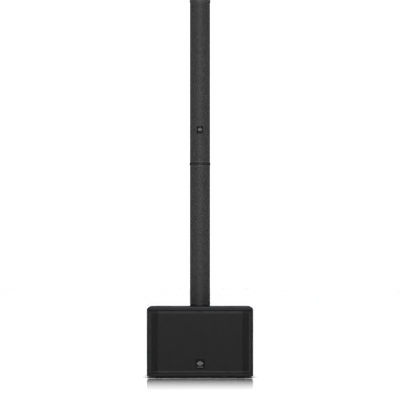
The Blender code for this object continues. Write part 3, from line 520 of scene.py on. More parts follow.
def add_object(name, data):
    """A new object in the scene from a mesh, light or camera."""
    obj = bpy.data.objects.new(name, data)
    bpy.context.scene.collection.objects.link(obj)
    return obj


def from_bmesh(name, bm, matrix=None):
    """A mesh object with its normals outwards, moved by a matrix."""
    bmesh.ops.recalc_face_normals(bm, faces=bm.faces)
    mesh = bpy.data.meshes.new(name)
    bm.to_mesh(mesh)
    bm.free()
    if matrix:
        mesh.transform(matrix)
    return add_object(name, mesh)


def applied(obj):
    """The object with its modifiers made real, and its cutters removed."""
    tools = [m.object for m in obj.modifiers if m.type == "BOOLEAN"]
    bpy.context.view_layer.update()
    graph = bpy.context.evaluated_depsgraph_get()
    mesh = bpy.data.meshes.new_from_object(obj.evaluated_get(graph))
    obj.modifiers.clear()
    obj.data = mesh
    for tool in tools:
        bpy.data.objects.remove(tool, do_unlink=True)
    return obj


def boolean(obj, tool, operation="DIFFERENCE"):
    """Adds a cut with, or a union to, another mesh."""
    modifier = obj.modifiers.new(tool.name, "BOOLEAN")
    modifier.object = tool
    modifier.operation = operation
    modifier.solver = "EXACT"
    return obj


def hollowed(shell, body, hollow):
    """The shell joined to the body behind it, with a hollow cut out of both."""
    boolean(shell, body, "UNION")
    boolean(shell, hollow)
    return applied(shell)


def block(name, low, high, edge=0.0):
    """A box between two corners, with rounded edges."""
    low, high = Vector(low), Vector(high)
    bm = bmesh.new()
    bmesh.ops.create_cube(bm, size=1.0, matrix=Matrix.Diagonal((*(high - low), 1.0)))
    if edge:
        bmesh.ops.bevel(bm, geom=bm.edges[:], offset=edge, segments=2, affect="EDGES", profile=0.5)
    return from_bmesh(name, bm, Matrix.Translation((low + high) / 2))


def rounded(corners, steps=6):
    """The outline through corners of (u, v, radius), with each radius turned into an arc."""
    points = []
    for i, (u, v, radius) in enumerate(corners):
        here = Vector((u, v))
        if not radius:
            points.append((u, v))
            continue
        before = (Vector(corners[i - 1][:2]) - here).normalized()
        after = (Vector(corners[(i + 1) % len(corners)][:2]) - here).normalized()
        half = before.angle(after) / 2
        centre = here + (before + after).normalized() * radius / math.sin(half)
        start = here + before * radius / math.tan(half) - centre
        end = here + after * radius / math.tan(half) - centre
        first = math.atan2(start.y, start.x)
        sweep = (math.atan2(end.y, end.x) - first + math.pi) % (2 * math.pi) - math.pi
        for k in range(steps + 1):
            angle = first + sweep * k / steps
            points.append((centre.x + radius * math.cos(angle), centre.y + radius * math.sin(angle)))
    return points


def rectangle(width, height, radius, middle=(0.0, 0.0), steps=5):
    u, v = middle
    w, h = width / 2, height / 2
    return rounded([(u + w * a, v + h * b, radius) for a, b in ((-1, -1), (1, -1), (1, 1), (-1, 1))], steps)


def slab(name, outline, low, high, matrix=None, top_edge=0.0, low_edge=0.0, segments=3):
    """An outline raised from one height to another, with its upper and lower rims rounded."""
    bm = bmesh.new()
    face = bm.faces.new([bm.verts.new((u, v, low)) for u, v in outline])
    raised = bmesh.ops.extrude_face_region(bm, geom=[face])["geom"]
    for vert in (g for g in raised if isinstance(g, bmesh.types.BMVert)):
        vert.co.z = high
    for height, edge in ((high, top_edge), (low, low_edge)):
        if edge:
            rim = [e for e in bm.edges if all(abs(v.co.z - height) < TINY for v in e.verts)]
            bmesh.ops.bevel(bm, geom=rim, offset=edge, segments=segments, affect="EDGES", profile=0.5)
    return from_bmesh(name, bm, matrix)


def lathe(name, profile, matrix, steps=48, ripple=None):
    """A closed (radius, height) profile turned round local Z. A ripple of (count, depth, low, high)
    flutes the skin between two heights."""
    bm = bmesh.new()
    rings = []
    for k in range(steps):
        angle = 2 * math.pi * k / steps
        ring = []
        for radius, height in profile:
            if ripple and ripple[2] <= height <= ripple[3]:
                radius -= ripple[1] * (0.5 - 0.5 * math.cos(ripple[0] * angle)) ** 2
            ring.append(bm.verts.new((radius * math.cos(angle), radius * math.sin(angle), height)))
        rings.append(ring)
    loop = list(range(len(profile)))
    closed = profile[0][0] > 0
    pairs = list(zip(loop, loop[1:])) + ([(loop[-1], loop[0])] if closed else [])
    for k in range(steps):
        here, there = rings[k], rings[(k + 1) % steps]
        for a, b in pairs:
            bm.faces.new((here[a], there[a], there[b], here[b]))
    bmesh.ops.remove_doubles(bm, verts=bm.verts, dist=TINY)
    bmesh.ops.dissolve_degenerate(bm, edges=bm.edges, dist=TINY)
    return from_bmesh(name, bm, matrix)


def merged(name, objects):
    """One object from the meshes of several."""
    bm = bmesh.new()
    for obj in objects:
        bm.from_mesh(obj.data)
        bpy.data.objects.remove(obj, do_unlink=True)
    return from_bmesh(name, bm)


# ---- Perforated sheets -------------------------------------------------------

class Path:
    """One half of a sheet's plan line, from its middle outwards, mirrored for the other half."""

    def __init__(self, points):
        self.points = [Vector(p) for p in points]
        self.reach = [0.0]
        for a, b in zip(self.points, self.points[1:]):
            self.reach.append(self.reach[-1] + (b - a).length)

    def at(self, distance):
        """Place and inward normal at a signed distance from the middle."""
        s = min(abs(distance), self.reach[-1])
        k = next(i for i in range(1, len(self.reach)) if s <= self.reach[i] or i == len(self.reach) - 1)
        a, b = self.points[k - 1], self.points[k]
        along = (b - a).normalized()
        here = a + along * (s - self.reach[k - 1])
        inward = Vector((-along.y, along.x))
        side = 1 if distance >= 0 else -1
        return Vector((side * here.x, here.y)), Vector((side * inward.x, inward.y))


def arc(centre, radius, start, end, steps):
    """Points along an arc between two angles in degrees."""
    angles = [math.radians(start + (end - start) * k / steps) for k in range(steps + 1)]
    return [(centre[0] + radius * math.cos(a), centre[1] + radius * math.sin(a)) for a in angles]


def hole_cells(half_width, half_height, pitch, hole):
    """Vertices and faces of staggered hexagonal cells round hexagonal holes, and the outer loop."""
    side = pitch / math.sqrt(3)
    columns = int(2 * half_width / pitch - 0.5)
    rows = int((2 * half_height - side) / (1.5 * side))
    left = -(columns - 0.5) * pitch / 2
    low = -(rows - 1) * 1.5 * side / 2
    points, index, faces, edges = [], {}, [], {}

    def vertex(x, z):
        key = (round(2 * x / pitch * 4), round(4 * z / side))
        if key not in index:
            index[key] = len(points)
            points.append((x, z))
        return index[key]

    for row in range(rows):
        for column in range(columns):
            x = left + (column + 0.5 * (row % 2)) * pitch
            z = low + row * 1.5 * side
            turns = [math.radians(30 + 60 * k) for k in range(6)]
            outer = [vertex(x + side * math.cos(a), z + side * math.sin(a)) for a in turns]
            inner = []
            for a in turns:
                inner.append(len(points))
                points.append((x + hole * math.cos(a), z + hole * math.sin(a)))
            for k in range(6):
                n = (k + 1) % 6
                faces.append((outer[k], outer[n], inner[n], inner[k]))
                edges[(outer[k], outer[n])] = True
    following = {a: b for a, b in edges if (b, a) not in edges}
    first = next(iter(following))
    loop = [first]
    while following[loop[-1]] != first:
        loop.append(following[loop[-1]])
    return points, faces, loop


def rim_steps(side_steps, roll):
    """Rings round the holes: how far each goes out at the sides, and up and back at top and bottom."""
    turns = [math.pi / 2 * k / 4 for k in range(1, 5)]
    rolls = [(roll * math.sin(a), roll * (1 - math.cos(a))) for a in turns] + [(roll, roll + ROLL_RUN)]
    steps = [(0.0, 0.0, 0.0)]
    for k in range(max(len(side_steps), len(rolls))):
        rise, back = rolls[min(k, len(rolls) - 1)]
        steps.append((side_steps[min(k, len(side_steps) - 1)], rise, back))
    return steps


def nearest_edges(points, loop, half_width, half_height):
    """For each vertex of the loop, the axis and the sign of the sheet's nearest edge."""
    sides = []
    for v in loop:
        x, z = points[v]
        beside = half_width - abs(x) < half_height - abs(z)
        sides.append(("x", math.copysign(1, x)) if beside else ("z", math.copysign(1, z)))
    return sides


def ring_faces(inner, outer, corners, last_corners):
    """Faces between two rings, which turn a corner where two edges of the sheet meet."""
    faces = []
    for i in range(len(inner)):
        n = (i + 1) % len(inner)
        if i not in corners:
            faces.append((inner[i], outer[i], outer[n], inner[n]))
        elif not last_corners:
            faces.append((inner[i], outer[i], corners[i], outer[n], inner[n]))
        else:
            faces.append((inner[i], outer[i], corners[i], last_corners[i]))
            faces.append((last_corners[i], corners[i], outer[n], inner[n]))
    return faces


def with_margin(points, faces, loop, half_width, half_height, steps):
    """The sheet's points as (across, up, back) and its faces, with rings of plain margin added."""
    flat = [(x, z, 0.0) for x, z in points]
    sides = nearest_edges(points, loop, half_width, half_height)
    inner, last_corners = loop, {}
    for out, rise, back in steps:
        a, b = half_width + out, half_height + rise
        outer, corners = [], {}
        for (axis, sign), v in zip(sides, loop):
            x, z = points[v]
            outer.append(len(flat))
            flat.append((sign * a, z, 0.0) if axis == "x" else (x, sign * b, back))
        for i, here in enumerate(sides):
            there = sides[(i + 1) % len(sides)]
            if here != there:
                signs = dict((here, there))
                corners[i] = len(flat)
                flat.append((signs["x"] * a, signs["z"] * b, back))
        faces += ring_faces(inner, outer, corners, last_corners)
        inner, last_corners = outer, corners
    return flat, faces


def sheet(name, points, faces):
    """A mesh turned to face the front and thickened backwards."""
    bm = bmesh.new()
    mesh = bpy.data.meshes.new(name)
    mesh.from_pydata(points, [], faces)
    bm.from_mesh(mesh)
    bmesh.ops.recalc_face_normals(bm, faces=bm.faces)
    bm.normal_update()
    if sum(f.normal.y * f.calc_area() for f in bm.faces) > 0:
        bmesh.ops.reverse_faces(bm, faces=bm.faces)
    bm.to_mesh(mesh)
    bm.free()
    obj = add_object(name, mesh)
    solid = obj.modifiers.new("thickness", "SOLIDIFY")
    solid.thickness = SHEET_T
    solid.offset = -1.0
    return applied(obj)


def perforated(name, path, half_width, low, high, pitch, hole, margin, side_steps, roll):
    """A perforated sheet that follows a path in plan. Its plain margin runs on along the path at the
    sides, by the given steps, and rolls back at the top and bottom."""
    half_height = (high - low) / 2 - roll
    cells = hole_cells(half_width - margin[0], half_height - margin[1], pitch, hole)
    flat, faces = with_margin(*cells, half_width, half_height, rim_steps(side_steps, roll))
    middle = (low + high) / 2
    placed = []
    for across, up, back in flat:
        here, inward = path.at(across)
        here = here + inward * back
        placed.append((here.x, here.y, middle + up))
    return sheet(name, placed, faces)


# ---- Base unit: outside ------------------------------------------------------

def cabinet_body():
    """The cabinet's closed outer form, from its plan outline drawn in at the bottom and top edges."""
    w, front, rear = CABINET.high.x, CABINET.low.y, CABINET.high.y
    back = front + FACET_BACK
    plan = rounded([
        (-FACET_X, front, FACET_R), (FACET_X, front, FACET_R), (w, back, CORNER_R),
        (w, rear, CORNER_R), (-w, rear, CORNER_R), (-w, back, CORNER_R),
    ], 8)
    quarter = [math.pi / 2 * k / 10 for k in range(11)]
    sections = []
    for (side, depth, height), edge, sign, turns in (
        (FOOT_ROLL, CABINET.low.z, 1, quarter[::-1]),
        (TOP_ROLL, CABINET.high.z, -1, quarter),
    ):
        for a in turns:
            sections.append((edge + sign * height * (1 - math.sin(a)),
                             side * (1 - math.cos(a)), depth * (1 - math.cos(a))))
    bm = bmesh.new()
    rings = []
    for z, inset_x, inset_y in sections:
        wide, deep = 1 - 2 * inset_x / CABINET.size.x, 1 - 2 * inset_y / CABINET.size.y
        rings.append([bm.verts.new((x * wide, y * deep, z)) for x, y in plan])
    for low, high in zip(rings, rings[1:]):
        for i in range(len(plan)):
            bm.faces.new((low[i - 1], low[i], high[i], high[i - 1]))
    bm.faces.new(reversed(rings[0]))
    bm.faces.new(rings[-1])
    return from_bmesh("cabinet", bm)


def brow_cut(height):
    """A wedge along the front's plan line that slopes the upper edge of the grille opening."""
    front = CABINET.low.y
    half = OPENING_HALF
    corner = front + FACET_SLOPE * (half - FACET_X)
    line = [(-half, corner), (-FACET_X, front), (FACET_X, front), (half, corner)]
    depth = BROW_CHAMFER
    bm = bmesh.new()
    rings = []
    for x, y in line:
        wedge = ((y - depth, height - 0.001), (y + depth, height - 0.001), (y + depth, height),
                 (y, height + depth), (y - depth, height + depth))
        rings.append([bm.verts.new((x, v, w)) for v, w in wedge])
    for left, right in zip(rings, rings[1:]):
        for i in range(len(left)):
            bm.faces.new((left[i - 1], left[i], right[i], right[i - 1]))
    bm.faces.new(rings[0])
    bm.faces.new(reversed(rings[-1]))
    return from_bmesh("brow_cut", bm)


def cabinet():
    shell = cabinet_body()
    low, high = CABINET.low, CABINET.high
    half = OPENING_HALF
    opening_low, opening_high = BASS_GRILLE.low.z - 0.001, BASS_GRILLE.high.z + GROOVE
    ledge = Box("front_baffle").high.y
    panel_half = PANEL.size.x / 2
    top = high.z
    cuts = [
        brow_cut(opening_high),
        block("front_cut", (-half, low.y - 0.05, opening_low), (half, ledge, opening_high)),
        block("ledge_cut", (-half + FRONT_LEDGE, ledge - 0.01, opening_low + FRONT_LEDGE),
              (half - FRONT_LEDGE, ledge + 0.03, opening_high - FRONT_LEDGE)),
        block("cavity_cut", (low.x + WALL, ledge + FRONT_LEDGE, low.z + WALL),
              (high.x - WALL, REAR_FACE - WALL, top - WALL), 0.008),
        block("rear_cut", (low.x + RIM_W, REAR_FACE, low.z + RIM_W),
              (high.x - RIM_W, high.y + 0.05, top - RIM_W)),
        block("panel_seat_cut", (-panel_half - GAP, PANEL.low.y - GAP, PANEL.low.z - GAP),
              (panel_half + GAP, REAR_FACE + 0.01, PANEL.high.z + GAP)),
        block("amp_cut", (-panel_half + PANEL_LAP, REAR_FACE - 0.05, PANEL.low.z + PANEL_LAP),
              (panel_half - PANEL_LAP, REAR_FACE + 0.02, PANEL.high.z - PANEL_LAP)),
        slab("socket_seat_cut", rectangle(SOCKET.size.x + 0.001, SOCKET.size.y + 0.001, 0.0125),
             top - 0.0043, top + 0.02, Matrix.Translation((SOCKET.middle.x, SOCKET.middle.y, 0.0))),
    ]
    holes = [(SOCKET.middle, SOCKET_HOLE)]
    holes += [(Box(f"handle_cup_{side}").middle, HANDLE_HOLE) for side in ("left", "right")]
    for middle, (wide, deep) in holes:
        cuts.append(block("hole_cut", (middle.x - wide, middle.y - deep, top - 0.03),
                          (middle.x + wide, middle.y + deep, top + 0.02)))
    for tool in cuts:
        boolean(shell, tool)
    finish_piece(applied(shell), cabinet_plastic, replaces=["cabinet_shell"], sharp=28)


def foot(name):
    """A tapered rubber foot with a rounded tread and a screw hole underneath."""
    place = Box(name)
    height = place.size.z
    r = place.size.x / 2
    profile = [
        (0.0, 0.0035), (0.0034, 0.0035), (0.0034, 0.0008), (0.0042, 0.0), (r - 0.0048, 0.0),
        (r - 0.0036, 0.0004), (r - 0.0029, 0.0013), (r - 0.0004, height - 0.0006),
        (r - 0.0010, height), (0.0, height),
    ]
    made = lathe(f"{name}_rubber", profile, Matrix.Translation((place.middle.x, place.middle.y, 0.0)), 40)
    finish_piece(made, rubber, replaces=[name])


def handle(side):
    """A moulded cup with a rolled flange and a fixed grip across it."""
    place = Box(f"handle_cup_{side}")
    x, y, top = place.middle.x, place.middle.y, place.high.z
    at = Matrix.Translation((x, y, 0.0))
    wide, deep = HANDLE_CUP
    floor = place.low.z
    flange = slab("flange", rectangle(place.size.x, place.size.y, 0.010), top - 0.0015, top, at, 0.0010)
    cup = slab("cup", rectangle(wide, deep, 0.014), floor, top - 0.0004, at, 0.0, 0.006, 4)
    inside = rectangle(wide - 2 * HANDLE_WALL, deep - 2 * HANDLE_WALL, 0.0115)
    hollow = slab("hollow", inside, floor + HANDLE_WALL, top + 0.02, at, 0.0, 0.005, 4)
    shell = hollowed(flange, cup, hollow)
    trim_piece(shell, f"handle_cup_{side}")
    shell.name = f"handle_{side}_cup"
    half = deep / 2 - HANDLE_WALL
    swell = [(GRIP_R * (0.93 + 0.07 * math.cos(math.pi * k / 8)), half * k / 8) for k in range(-8, 9)]
    profile = [(0.0, half)] + [(r, z) for r, z in reversed(swell)] + [(0.0, -half)]
    turn = facing_rear(x, y, top - GRIP_R - 0.001)
    grip = lathe(f"handle_{side}_grip", profile, turn, 40, (*GRIP_FLUTES, -half * 0.8, half * 0.8))
    finish_piece(grip, rubber, sharp=50)


def column_socket():
    """The seat for the lower column, with its contacts at the bottom of the pocket."""
    low, high, middle = SOCKET.low, SOCKET.high, SOCKET.middle
    at = Matrix.Translation((middle.x, middle.y, 0.0))
    outline = rectangle(SOCKET.size.x, SOCKET.size.y, 0.012)
    flange = slab("seat", outline, high.z - 0.004, high.z, at, 0.0012)
    body = slab("body", rectangle(*SOCKET_BODY), low.z, high.z - 0.003, at, 0.0, 0.002)
    floor = high.z - POCKET_DEPTH
    pocket = slab("pocket", rectangle(*SOCKET_POCKET), floor, high.z + 0.02, at)
    made = hollowed(flange, body, pocket)
    made.name = "column_seat"
    trim_piece(made, "column_socket")
    profile = [(0.0, 0.0040), (0.0009, 0.0038), (0.0014, 0.0030), (0.0014, 0.0), (0.0, 0.0)]
    across, between = CONTACT_PITCH
    pins = []
    for row in (-1, 1):
        for k in range(4):
            spot = ((k - 1.5) * across, middle.y + row * between / 2, floor)
            pins.append(lathe("pin", profile, Matrix.Translation(spot), 16))
    finish_piece(merged("socket_contacts", pins), brass)


# ---- Base unit: front --------------------------------------------------------

def bass_path():
    """The front grille's plan line, and its half widths to the strip, to the bend and round it."""
    front, edge = BASS_GRILLE.low.y, BASS_GRILLE.high.x
    facet_end = edge - BASS_STRIP
    back = front + FACET_SLOPE * (facet_end - FACET_X)
    bend = arc((edge - BASS_BEND_R, back + BASS_BEND_R), BASS_BEND_R, -90, 0, 6)
    path = Path([(0.0, front), (FACET_X, front), (facet_end, back), *bend, (edge, back + BASS_RETURN)])
    return path, path.reach[2], path.reach[3], path.reach[-2]


def bass_grille():
    path, creased, flat, bent = bass_path()
    reaches = [flat] + [flat + (bent - flat) * k / 3 for k in range(1, 4)] + [path.reach[-1]]
    made = perforated("bass_grille", path, creased, BASS_GRILLE.low.z, BASS_GRILLE.high.z,
                      BASS_PITCH, BASS_HOLE, BASS_MARGIN, [reach - creased for reach in reaches], BASS_ROLL)
    finish_piece(made, grille_paint, replaces=["front_grille"], sharp=18)


def screw(name, radius, matrix, recess="cross"):
    """A low domed screw head with a cross or a hexagon recess, on a short shank."""
    turns = [math.pi / 2 * k / 6 for k in range(7)]
    dome = [(radius * math.sin(a), radius * 0.42 * math.cos(a)) for a in turns]
    shank = [(radius, -0.0008), (radius * 0.5, -0.0008), (radius * 0.5, -0.0040), (0.0, -0.0040)]
    head = lathe(name, dome + shank, matrix, 28)
    if recess == "cross":
        for x, y in ((radius * 0.55, radius * 0.11), (radius * 0.11, radius * 0.55)):
            arm = block("arm", (-x, -y, radius * 0.12), (x, y, radius))
            arm.data.transform(matrix)
            boolean(head, arm)
    else:
        reach = radius * 0.5
        outline = [(reach * math.cos(a), reach * math.sin(a)) for a in (math.pi * k / 3 for k in range(6))]
        boolean(head, slab("hexagon", outline, radius * 0.08, radius, matrix))
    return applied(head)


def screw_pair(name, turn, x, z, radius):
    """Two screws on opposite sides of a connector's middle."""
    for i, sign in enumerate((-1, 1)):
        at = turn @ Matrix.Translation((sign * x, sign * z, 0.0005))
        finish_piece(screw(f"{name}_screw_{i + 1}", radius, at), black_screw)


def grille_screws():
    """Three screws along the top and bottom margins, and two down each side."""
    front = BASS_GRILLE.low.y
    places = []
    inset_x, inset_z = GRILLE_SCREW_INSET
    for z in (BASS_GRILLE.high.z - inset_z, BASS_GRILLE.low.z + inset_z):
        places += [(x, front, z) for x in (-GRILLE_SCREW_X, 0.0, GRILLE_SCREW_X)]
    x = BASS_GRILLE.high.x - inset_x
    strip = front + FACET_SLOPE * (BASS_GRILLE.high.x - BASS_STRIP - FACET_X)
    middle = BASS_GRILLE.middle.z
    for side in (-1, 1):
        places += [(side * x, strip, middle + dz) for dz in (-GRILLE_SCREW_DZ, GRILLE_SCREW_DZ)]
    for i, (x, y, z) in enumerate(places):
        matrix = facing_front(x, y - 0.0003, z)
        head = screw(f"grille_screw_{i + 1}", GRILLE_SCREW_R, matrix, "hex")
        finish_piece(head, black_screw)


def emblem(name, scale, depth, matrix):
    """Five upright rounded bars of a level meter over a thin underline: the badge's generic mark."""
    bars = []
    width, corner, pitch = (size * scale for size in EMBLEM_BAR)
    for i, height in enumerate(EMBLEM_BARS):
        outline = rectangle(width, height * scale, corner, ((i - 2) * pitch, 0.0035 * scale))
        bars.append(slab(f"bar_{i}", outline, 0.0, depth, matrix, depth * 0.45))
    line = rectangle(0.034 * scale, 0.0022 * scale, 0.0010 * scale, (0.0, -0.0165 * scale))
    bars.append(slab("underline", line, 0.0, depth, matrix, depth * 0.45))
    return merged(name, bars)


def bass_badge():
    place = Box("front_badge")
    front = place.high.y - 0.0020
    matrix = facing_front(place.middle.x, front, place.middle.z)
    outline = rectangle(place.size.x, place.size.z, 0.005)
    plate = slab("bass_badge_plate", outline, -0.0020, 0.0, matrix, 0.0008)
    finish_piece(plate, badge_plate_finish, replaces=["front_badge"])
    mark = emblem("bass_badge_mark", 1.0, 0.0008, matrix)
    finish_piece(mark, emblem_paint)


# ---- Base unit: back ---------------------------------------------------------

def panel_screws():
    """Three screws down each side of the amplifier panel, and one at the top and bottom between them."""
    half, inset = PANEL.size.x / 2, PANEL_SCREW_INSET
    rows = [PANEL.low.z + inset, PANEL.middle.z, PANEL.high.z - inset]
    places = [(side * (half - inset), z) for side in (-1, 1) for z in rows]
    places += [(0.0, rows[0]), (0.0, rows[2])]
    for i, (x, z) in enumerate(places):
        matrix = facing_rear(x, REAR_FACE + 0.0009, z)
        finish_piece(screw(f"panel_screw_{i + 1}", PANEL_SCREW_R, matrix), black_screw)


def contact_ring(name, profile, turn, distance):
    """The same small turned contact at three places round a socket's middle."""
    made = []
    for angle in map(math.radians, CONTACT_ANGLES):
        spot = (distance * math.sin(angle), distance * math.cos(angle), 0.0)
        made.append(lathe("contact", profile, turn @ Matrix.Translation(spot), 14))
    finish_piece(merged(f"{name}_contacts", made), brass)


def jack(name, combo):
    """A panel connector: a flange with two screws, a socket lined with its contacts, and a latch."""
    place = Box(name)
    turn = facing_rear(place.middle.x, place.high.y, place.middle.z)
    outline = rectangle(place.size.x, place.size.z, 0.0032)
    flange = slab(f"{name}_shell", outline, -0.0022, 0.0, turn, 0.0006)
    body = lathe("body", [(0.0, -0.001), (0.0118, -0.001), (0.0118, -0.0255), (0.0, -0.0255)], turn, 40)
    hollow = [(0.0, 0.02), (0.0096, 0.02), (0.0096, 0.0), (0.0088, -0.0012), (0.0088, -0.0172),
              (0.0, -0.0172)]
    trim_piece(hollowed(flange, body, lathe("mouth", hollow, turn, 40)), name)
    if combo:
        core = [(0.0035, -0.0040), (0.0062, -0.0040), (0.0066, -0.0046), (0.0066, -0.0171),
                (0.0035, -0.0171)]
        finish_piece(lathe(f"{name}_core", core, turn, 32), trim_plastic)
        sleeve = [(0.0010, -0.0036), (0.0016, -0.0036), (0.0016, -0.0050), (0.0010, -0.0050)]
        contact_ring(name, sleeve, turn, 0.0050)
    else:
        pin = [(0.0, -0.0050), (0.0008, -0.0052), (0.0012, -0.0060), (0.0012, -0.0172), (0.0, -0.0172)]
        contact_ring(name, pin, turn, 0.0042)
    outline = rectangle(0.0050, 0.0030, 0.0008, (0.0, 0.0124))
    finish_piece(slab(f"{name}_latch", outline, 0.0, 0.0013, turn, 0.0004), bright_steel)
    screw_pair(name, turn, 0.0098, 0.0122, 0.0022)


def mains_inlet():
    """An inlet for an appliance lead, with its three blades and two screws."""
    place = Box("mains_inlet")
    turn = facing_rear(place.middle.x, place.high.y, place.middle.z)
    outline = rectangle(place.size.x, place.size.z, 0.005)
    flange = slab("mains_inlet_shell", outline, -0.0025, 0.0, turn, 0.0007)
    body = slab("body", rectangle(0.028, 0.020, 0.0015), -0.0265, -0.001, turn)
    corners = [(-0.0122, 0.0083, 0.001), (-0.0122, -0.0040, 0.001), (-0.0080, -0.0083, 0.001),
               (0.0080, -0.0083, 0.001), (0.0122, -0.0040, 0.001), (0.0122, 0.0083, 0.001)]
    mouth = slab("mouth", rounded(corners, 3), -0.0185, 0.02, turn)
    trim_piece(hollowed(flange, body, mouth), "mains_inlet")
    blades = [slab("blade", rectangle(0.0020, 0.0040, 0.0004, at), -0.0185, -0.0045, turn, 0.0004)
              for at in ((-0.0070, -0.0015), (0.0, 0.0025), (0.0070, -0.0015))]
    finish_piece(merged("mains_inlet_blades", blades), bright_steel)
    screw_pair("mains_inlet", turn, 0.0200, 0.0, 0.0028)


def gain_knob(channel):
    """A fluted knob with a white pointer, over its collar."""
    node = f"gain_knob_{channel}"
    place = Box(node)
    x, z = place.middle.x, place.middle.z
    turn = facing_rear(x, REAR_FACE, z)
    top, r = place.high.y - REAR_FACE, place.size.x / 2
    profile = [(0.0, top), (r * 0.70, top), (r * 0.80, top - 0.0004), (r * 0.86, top - 0.0014),
               (r * 0.94, 0.0040), (r, 0.0028), (r, 0.0016), (r * 0.97, 0.0012), (0.0030, 0.0012),
               (0.0030, -0.0100), (0.0, -0.0100)]
    knob = lathe(f"{node}_cap", profile, turn, 72, (18, 0.0006, 0.0035, top - 0.0010))
    finish_piece(knob, trim_plastic, node, replaces=[node], sharp=50)
    low, high = (-0.0005, 0.0012, top - 0.0002), (0.0005, r * 0.72, top + 0.00015)
    mark = block(f"{node}_pointer", low, high, 0.0001)
    mark.data.transform(turn)
    finish_piece(mark, pointer_paint, node)


def encoder_knob():
    place = Box("encoder_knob")
    turn = facing_rear(place.middle.x, REAR_FACE, place.middle.z)
    top, r = place.high.y - REAR_FACE, place.size.x / 2
    profile = [(0.0, top - 0.0006), (r * 0.62, top - 0.0006), (r * 0.70, top - 0.0002), (r * 0.84, top),
               (r * 0.93, top - 0.0010), (r * 0.97, 0.0030), (r, 0.0022), (r, 0.0015), (0.0033, 0.0015),
               (0.0033, 0.0073), (0.0, 0.0073)]
    knob = lathe("encoder_cap", profile, turn, 96, (32, 0.0005, 0.0028, top - 0.0008))
    finish_piece(knob, trim_plastic, "encoder_knob", replaces=["encoder_knob"], sharp=50)


def bezel(name, middle, width, height):
    """A thin raised frame on the panel round an opening."""
    turn = facing_rear(middle.x, REAR_FACE, middle.z)
    outline = rectangle(width + 2 * BEZEL_W, height + 2 * BEZEL_W, 0.003)
    outer = slab(name, outline, 0.0002, 0.0016, turn, 0.0006)
    boolean(outer, slab("inner", rectangle(width, height, 0.0008), -0.01, 0.01, turn))
    finish_piece(applied(outer), trim_plastic, sharp=30)


def bezels():
    window = Box("display_window")
    wide, tall = window.size.x + BEZEL_CLEAR, window.size.z + BEZEL_CLEAR
    bezel("display_bezel", window.middle, wide, tall)
    bezel("rocker_bezel", Box("power_rocker").middle, *ROCKER_OPENING)


# ---- Columns -----------------------------------------------------------------

def nose_radius(half_width, rise):
    """Radius of the arc with this half width and rise."""
    return (half_width ** 2 + rise ** 2) / (2 * rise)


def column_plan(grow):
    """The column's outline, grown all round: a curved front, straight sides and rounded back corners."""
    half, corner = COLUMN_HALF + grow, COLUMN_CORNER_R + grow
    nose = COLUMN_NOSE - grow
    radius = nose_radius(half, COLUMN_LIP - nose)
    reach = math.asin(half / radius)
    front = [(radius * math.sin(a), nose + radius * (1 - math.cos(a)))
             for a in (reach * (k / 14 - 1) for k in range(29))]
    back = rounded([(half, COLUMN_LIP, 0), (half, COLUMN_BACK + grow, corner),
                    (-half, COLUMN_BACK + grow, corner), (-half, COLUMN_LIP, 0)], 10)
    return front + back[1:-1]


def driver_holes(level, web):
    """Cutters for the openings in the housing's front web."""
    holes = []
    profile = [(0.0, 0.02), (DRIVER_HOLE_R, 0.02), (DRIVER_HOLE_R, -0.02), (0.0, -0.02)]
    count = len([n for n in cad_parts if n.startswith(f"{level}_driver_")])
    for i in range(count):
        height = Box(f"{level}_driver_{i + 1}").middle.z
        holes.append(lathe("hole", profile, facing_front(0.0, web, height), 48))
    if level == "upper":
        height = Box("tweeter_horn").middle.z
        wide, tall = HORN_HOLE
        holes.append(block("horn_hole", (-wide, web - 0.02, height - tall),
                           (wide, web + 0.02, height + tall)))
    return merged("holes", holes)


def column_housing(level):
    """The extruded housing: a lip each side of the grille, a front web behind it and rounded corners."""
    node = f"{level}_column_housing"
    place = Box(node)
    half, wall, corner = COLUMN_HALF, COLUMN_WALL, COLUMN_CORNER_R
    lip = half - COLUMN_LIP_W
    web = Box(f"{level}_column_grille").high.y + GAP
    outline = rounded([
        (-lip, COLUMN_LIP, 0.0006), (-lip, web, 0), (lip, web, 0), (lip, COLUMN_LIP, 0.0006),
        (half, COLUMN_LIP, 0.0007), (half, COLUMN_BACK, corner),
        (-half, COLUMN_BACK, corner), (-half, COLUMN_LIP, 0.0007),
    ], 10)
    hollow = rounded([
        (-half + wall, web + wall, 0), (half - wall, web + wall, 0),
        (half - wall, COLUMN_BACK - wall, corner - wall),
        (-half + wall, COLUMN_BACK - wall, corner - wall),
    ], 10)
    shell = slab(f"{level}_housing", outline, place.low.z, place.high.z)
    boolean(shell, slab("hollow", hollow, place.low.z - 0.01, place.high.z + 0.01))
    boolean(shell, driver_holes(level, web))
    body = f"{level}_column"
    finish_piece(applied(shell), housing_paint, body, replaces=[node], sharp=30)


def column_grille(level):
    node = f"{level}_column_grille"
    place = Box(node)
    edge = COLUMN_HALF - COLUMN_GRILLE_INSET
    lip = COLUMN_LIP + GRILLE_SET_BACK
    radius = nose_radius(edge, lip - COLUMN_NOSE)
    reach = math.degrees(math.asin(edge / radius))
    front = arc((0.0, COLUMN_NOSE + radius), radius, -90, -90 + reach, 60)
    path = Path(front + [(edge, place.high.y)])
    half_width = path.reach[60]
    side = path.reach[-1] - half_width
    made = perforated(f"{level}_grille", path, half_width, place.low.z, place.high.z,
                      COLUMN_PITCH, COLUMN_HOLE, COLUMN_MARGIN, [side * 0.5, side], COLUMN_ROLL)
    finish_piece(made, column_grille_paint, f"{level}_column", replaces=[node], sharp=30)


def column_plate(node, low, low_edge, top_edge):
    """A plate with the column's outline, from a height to the node's top, with rounded rims."""
    grow = (Box(node).size.x - COLUMN.size.x) / 2
    name = node.replace("_column", "")
    return slab(name, column_plan(grow), low, Box(node).high.z, None, top_edge, low_edge)


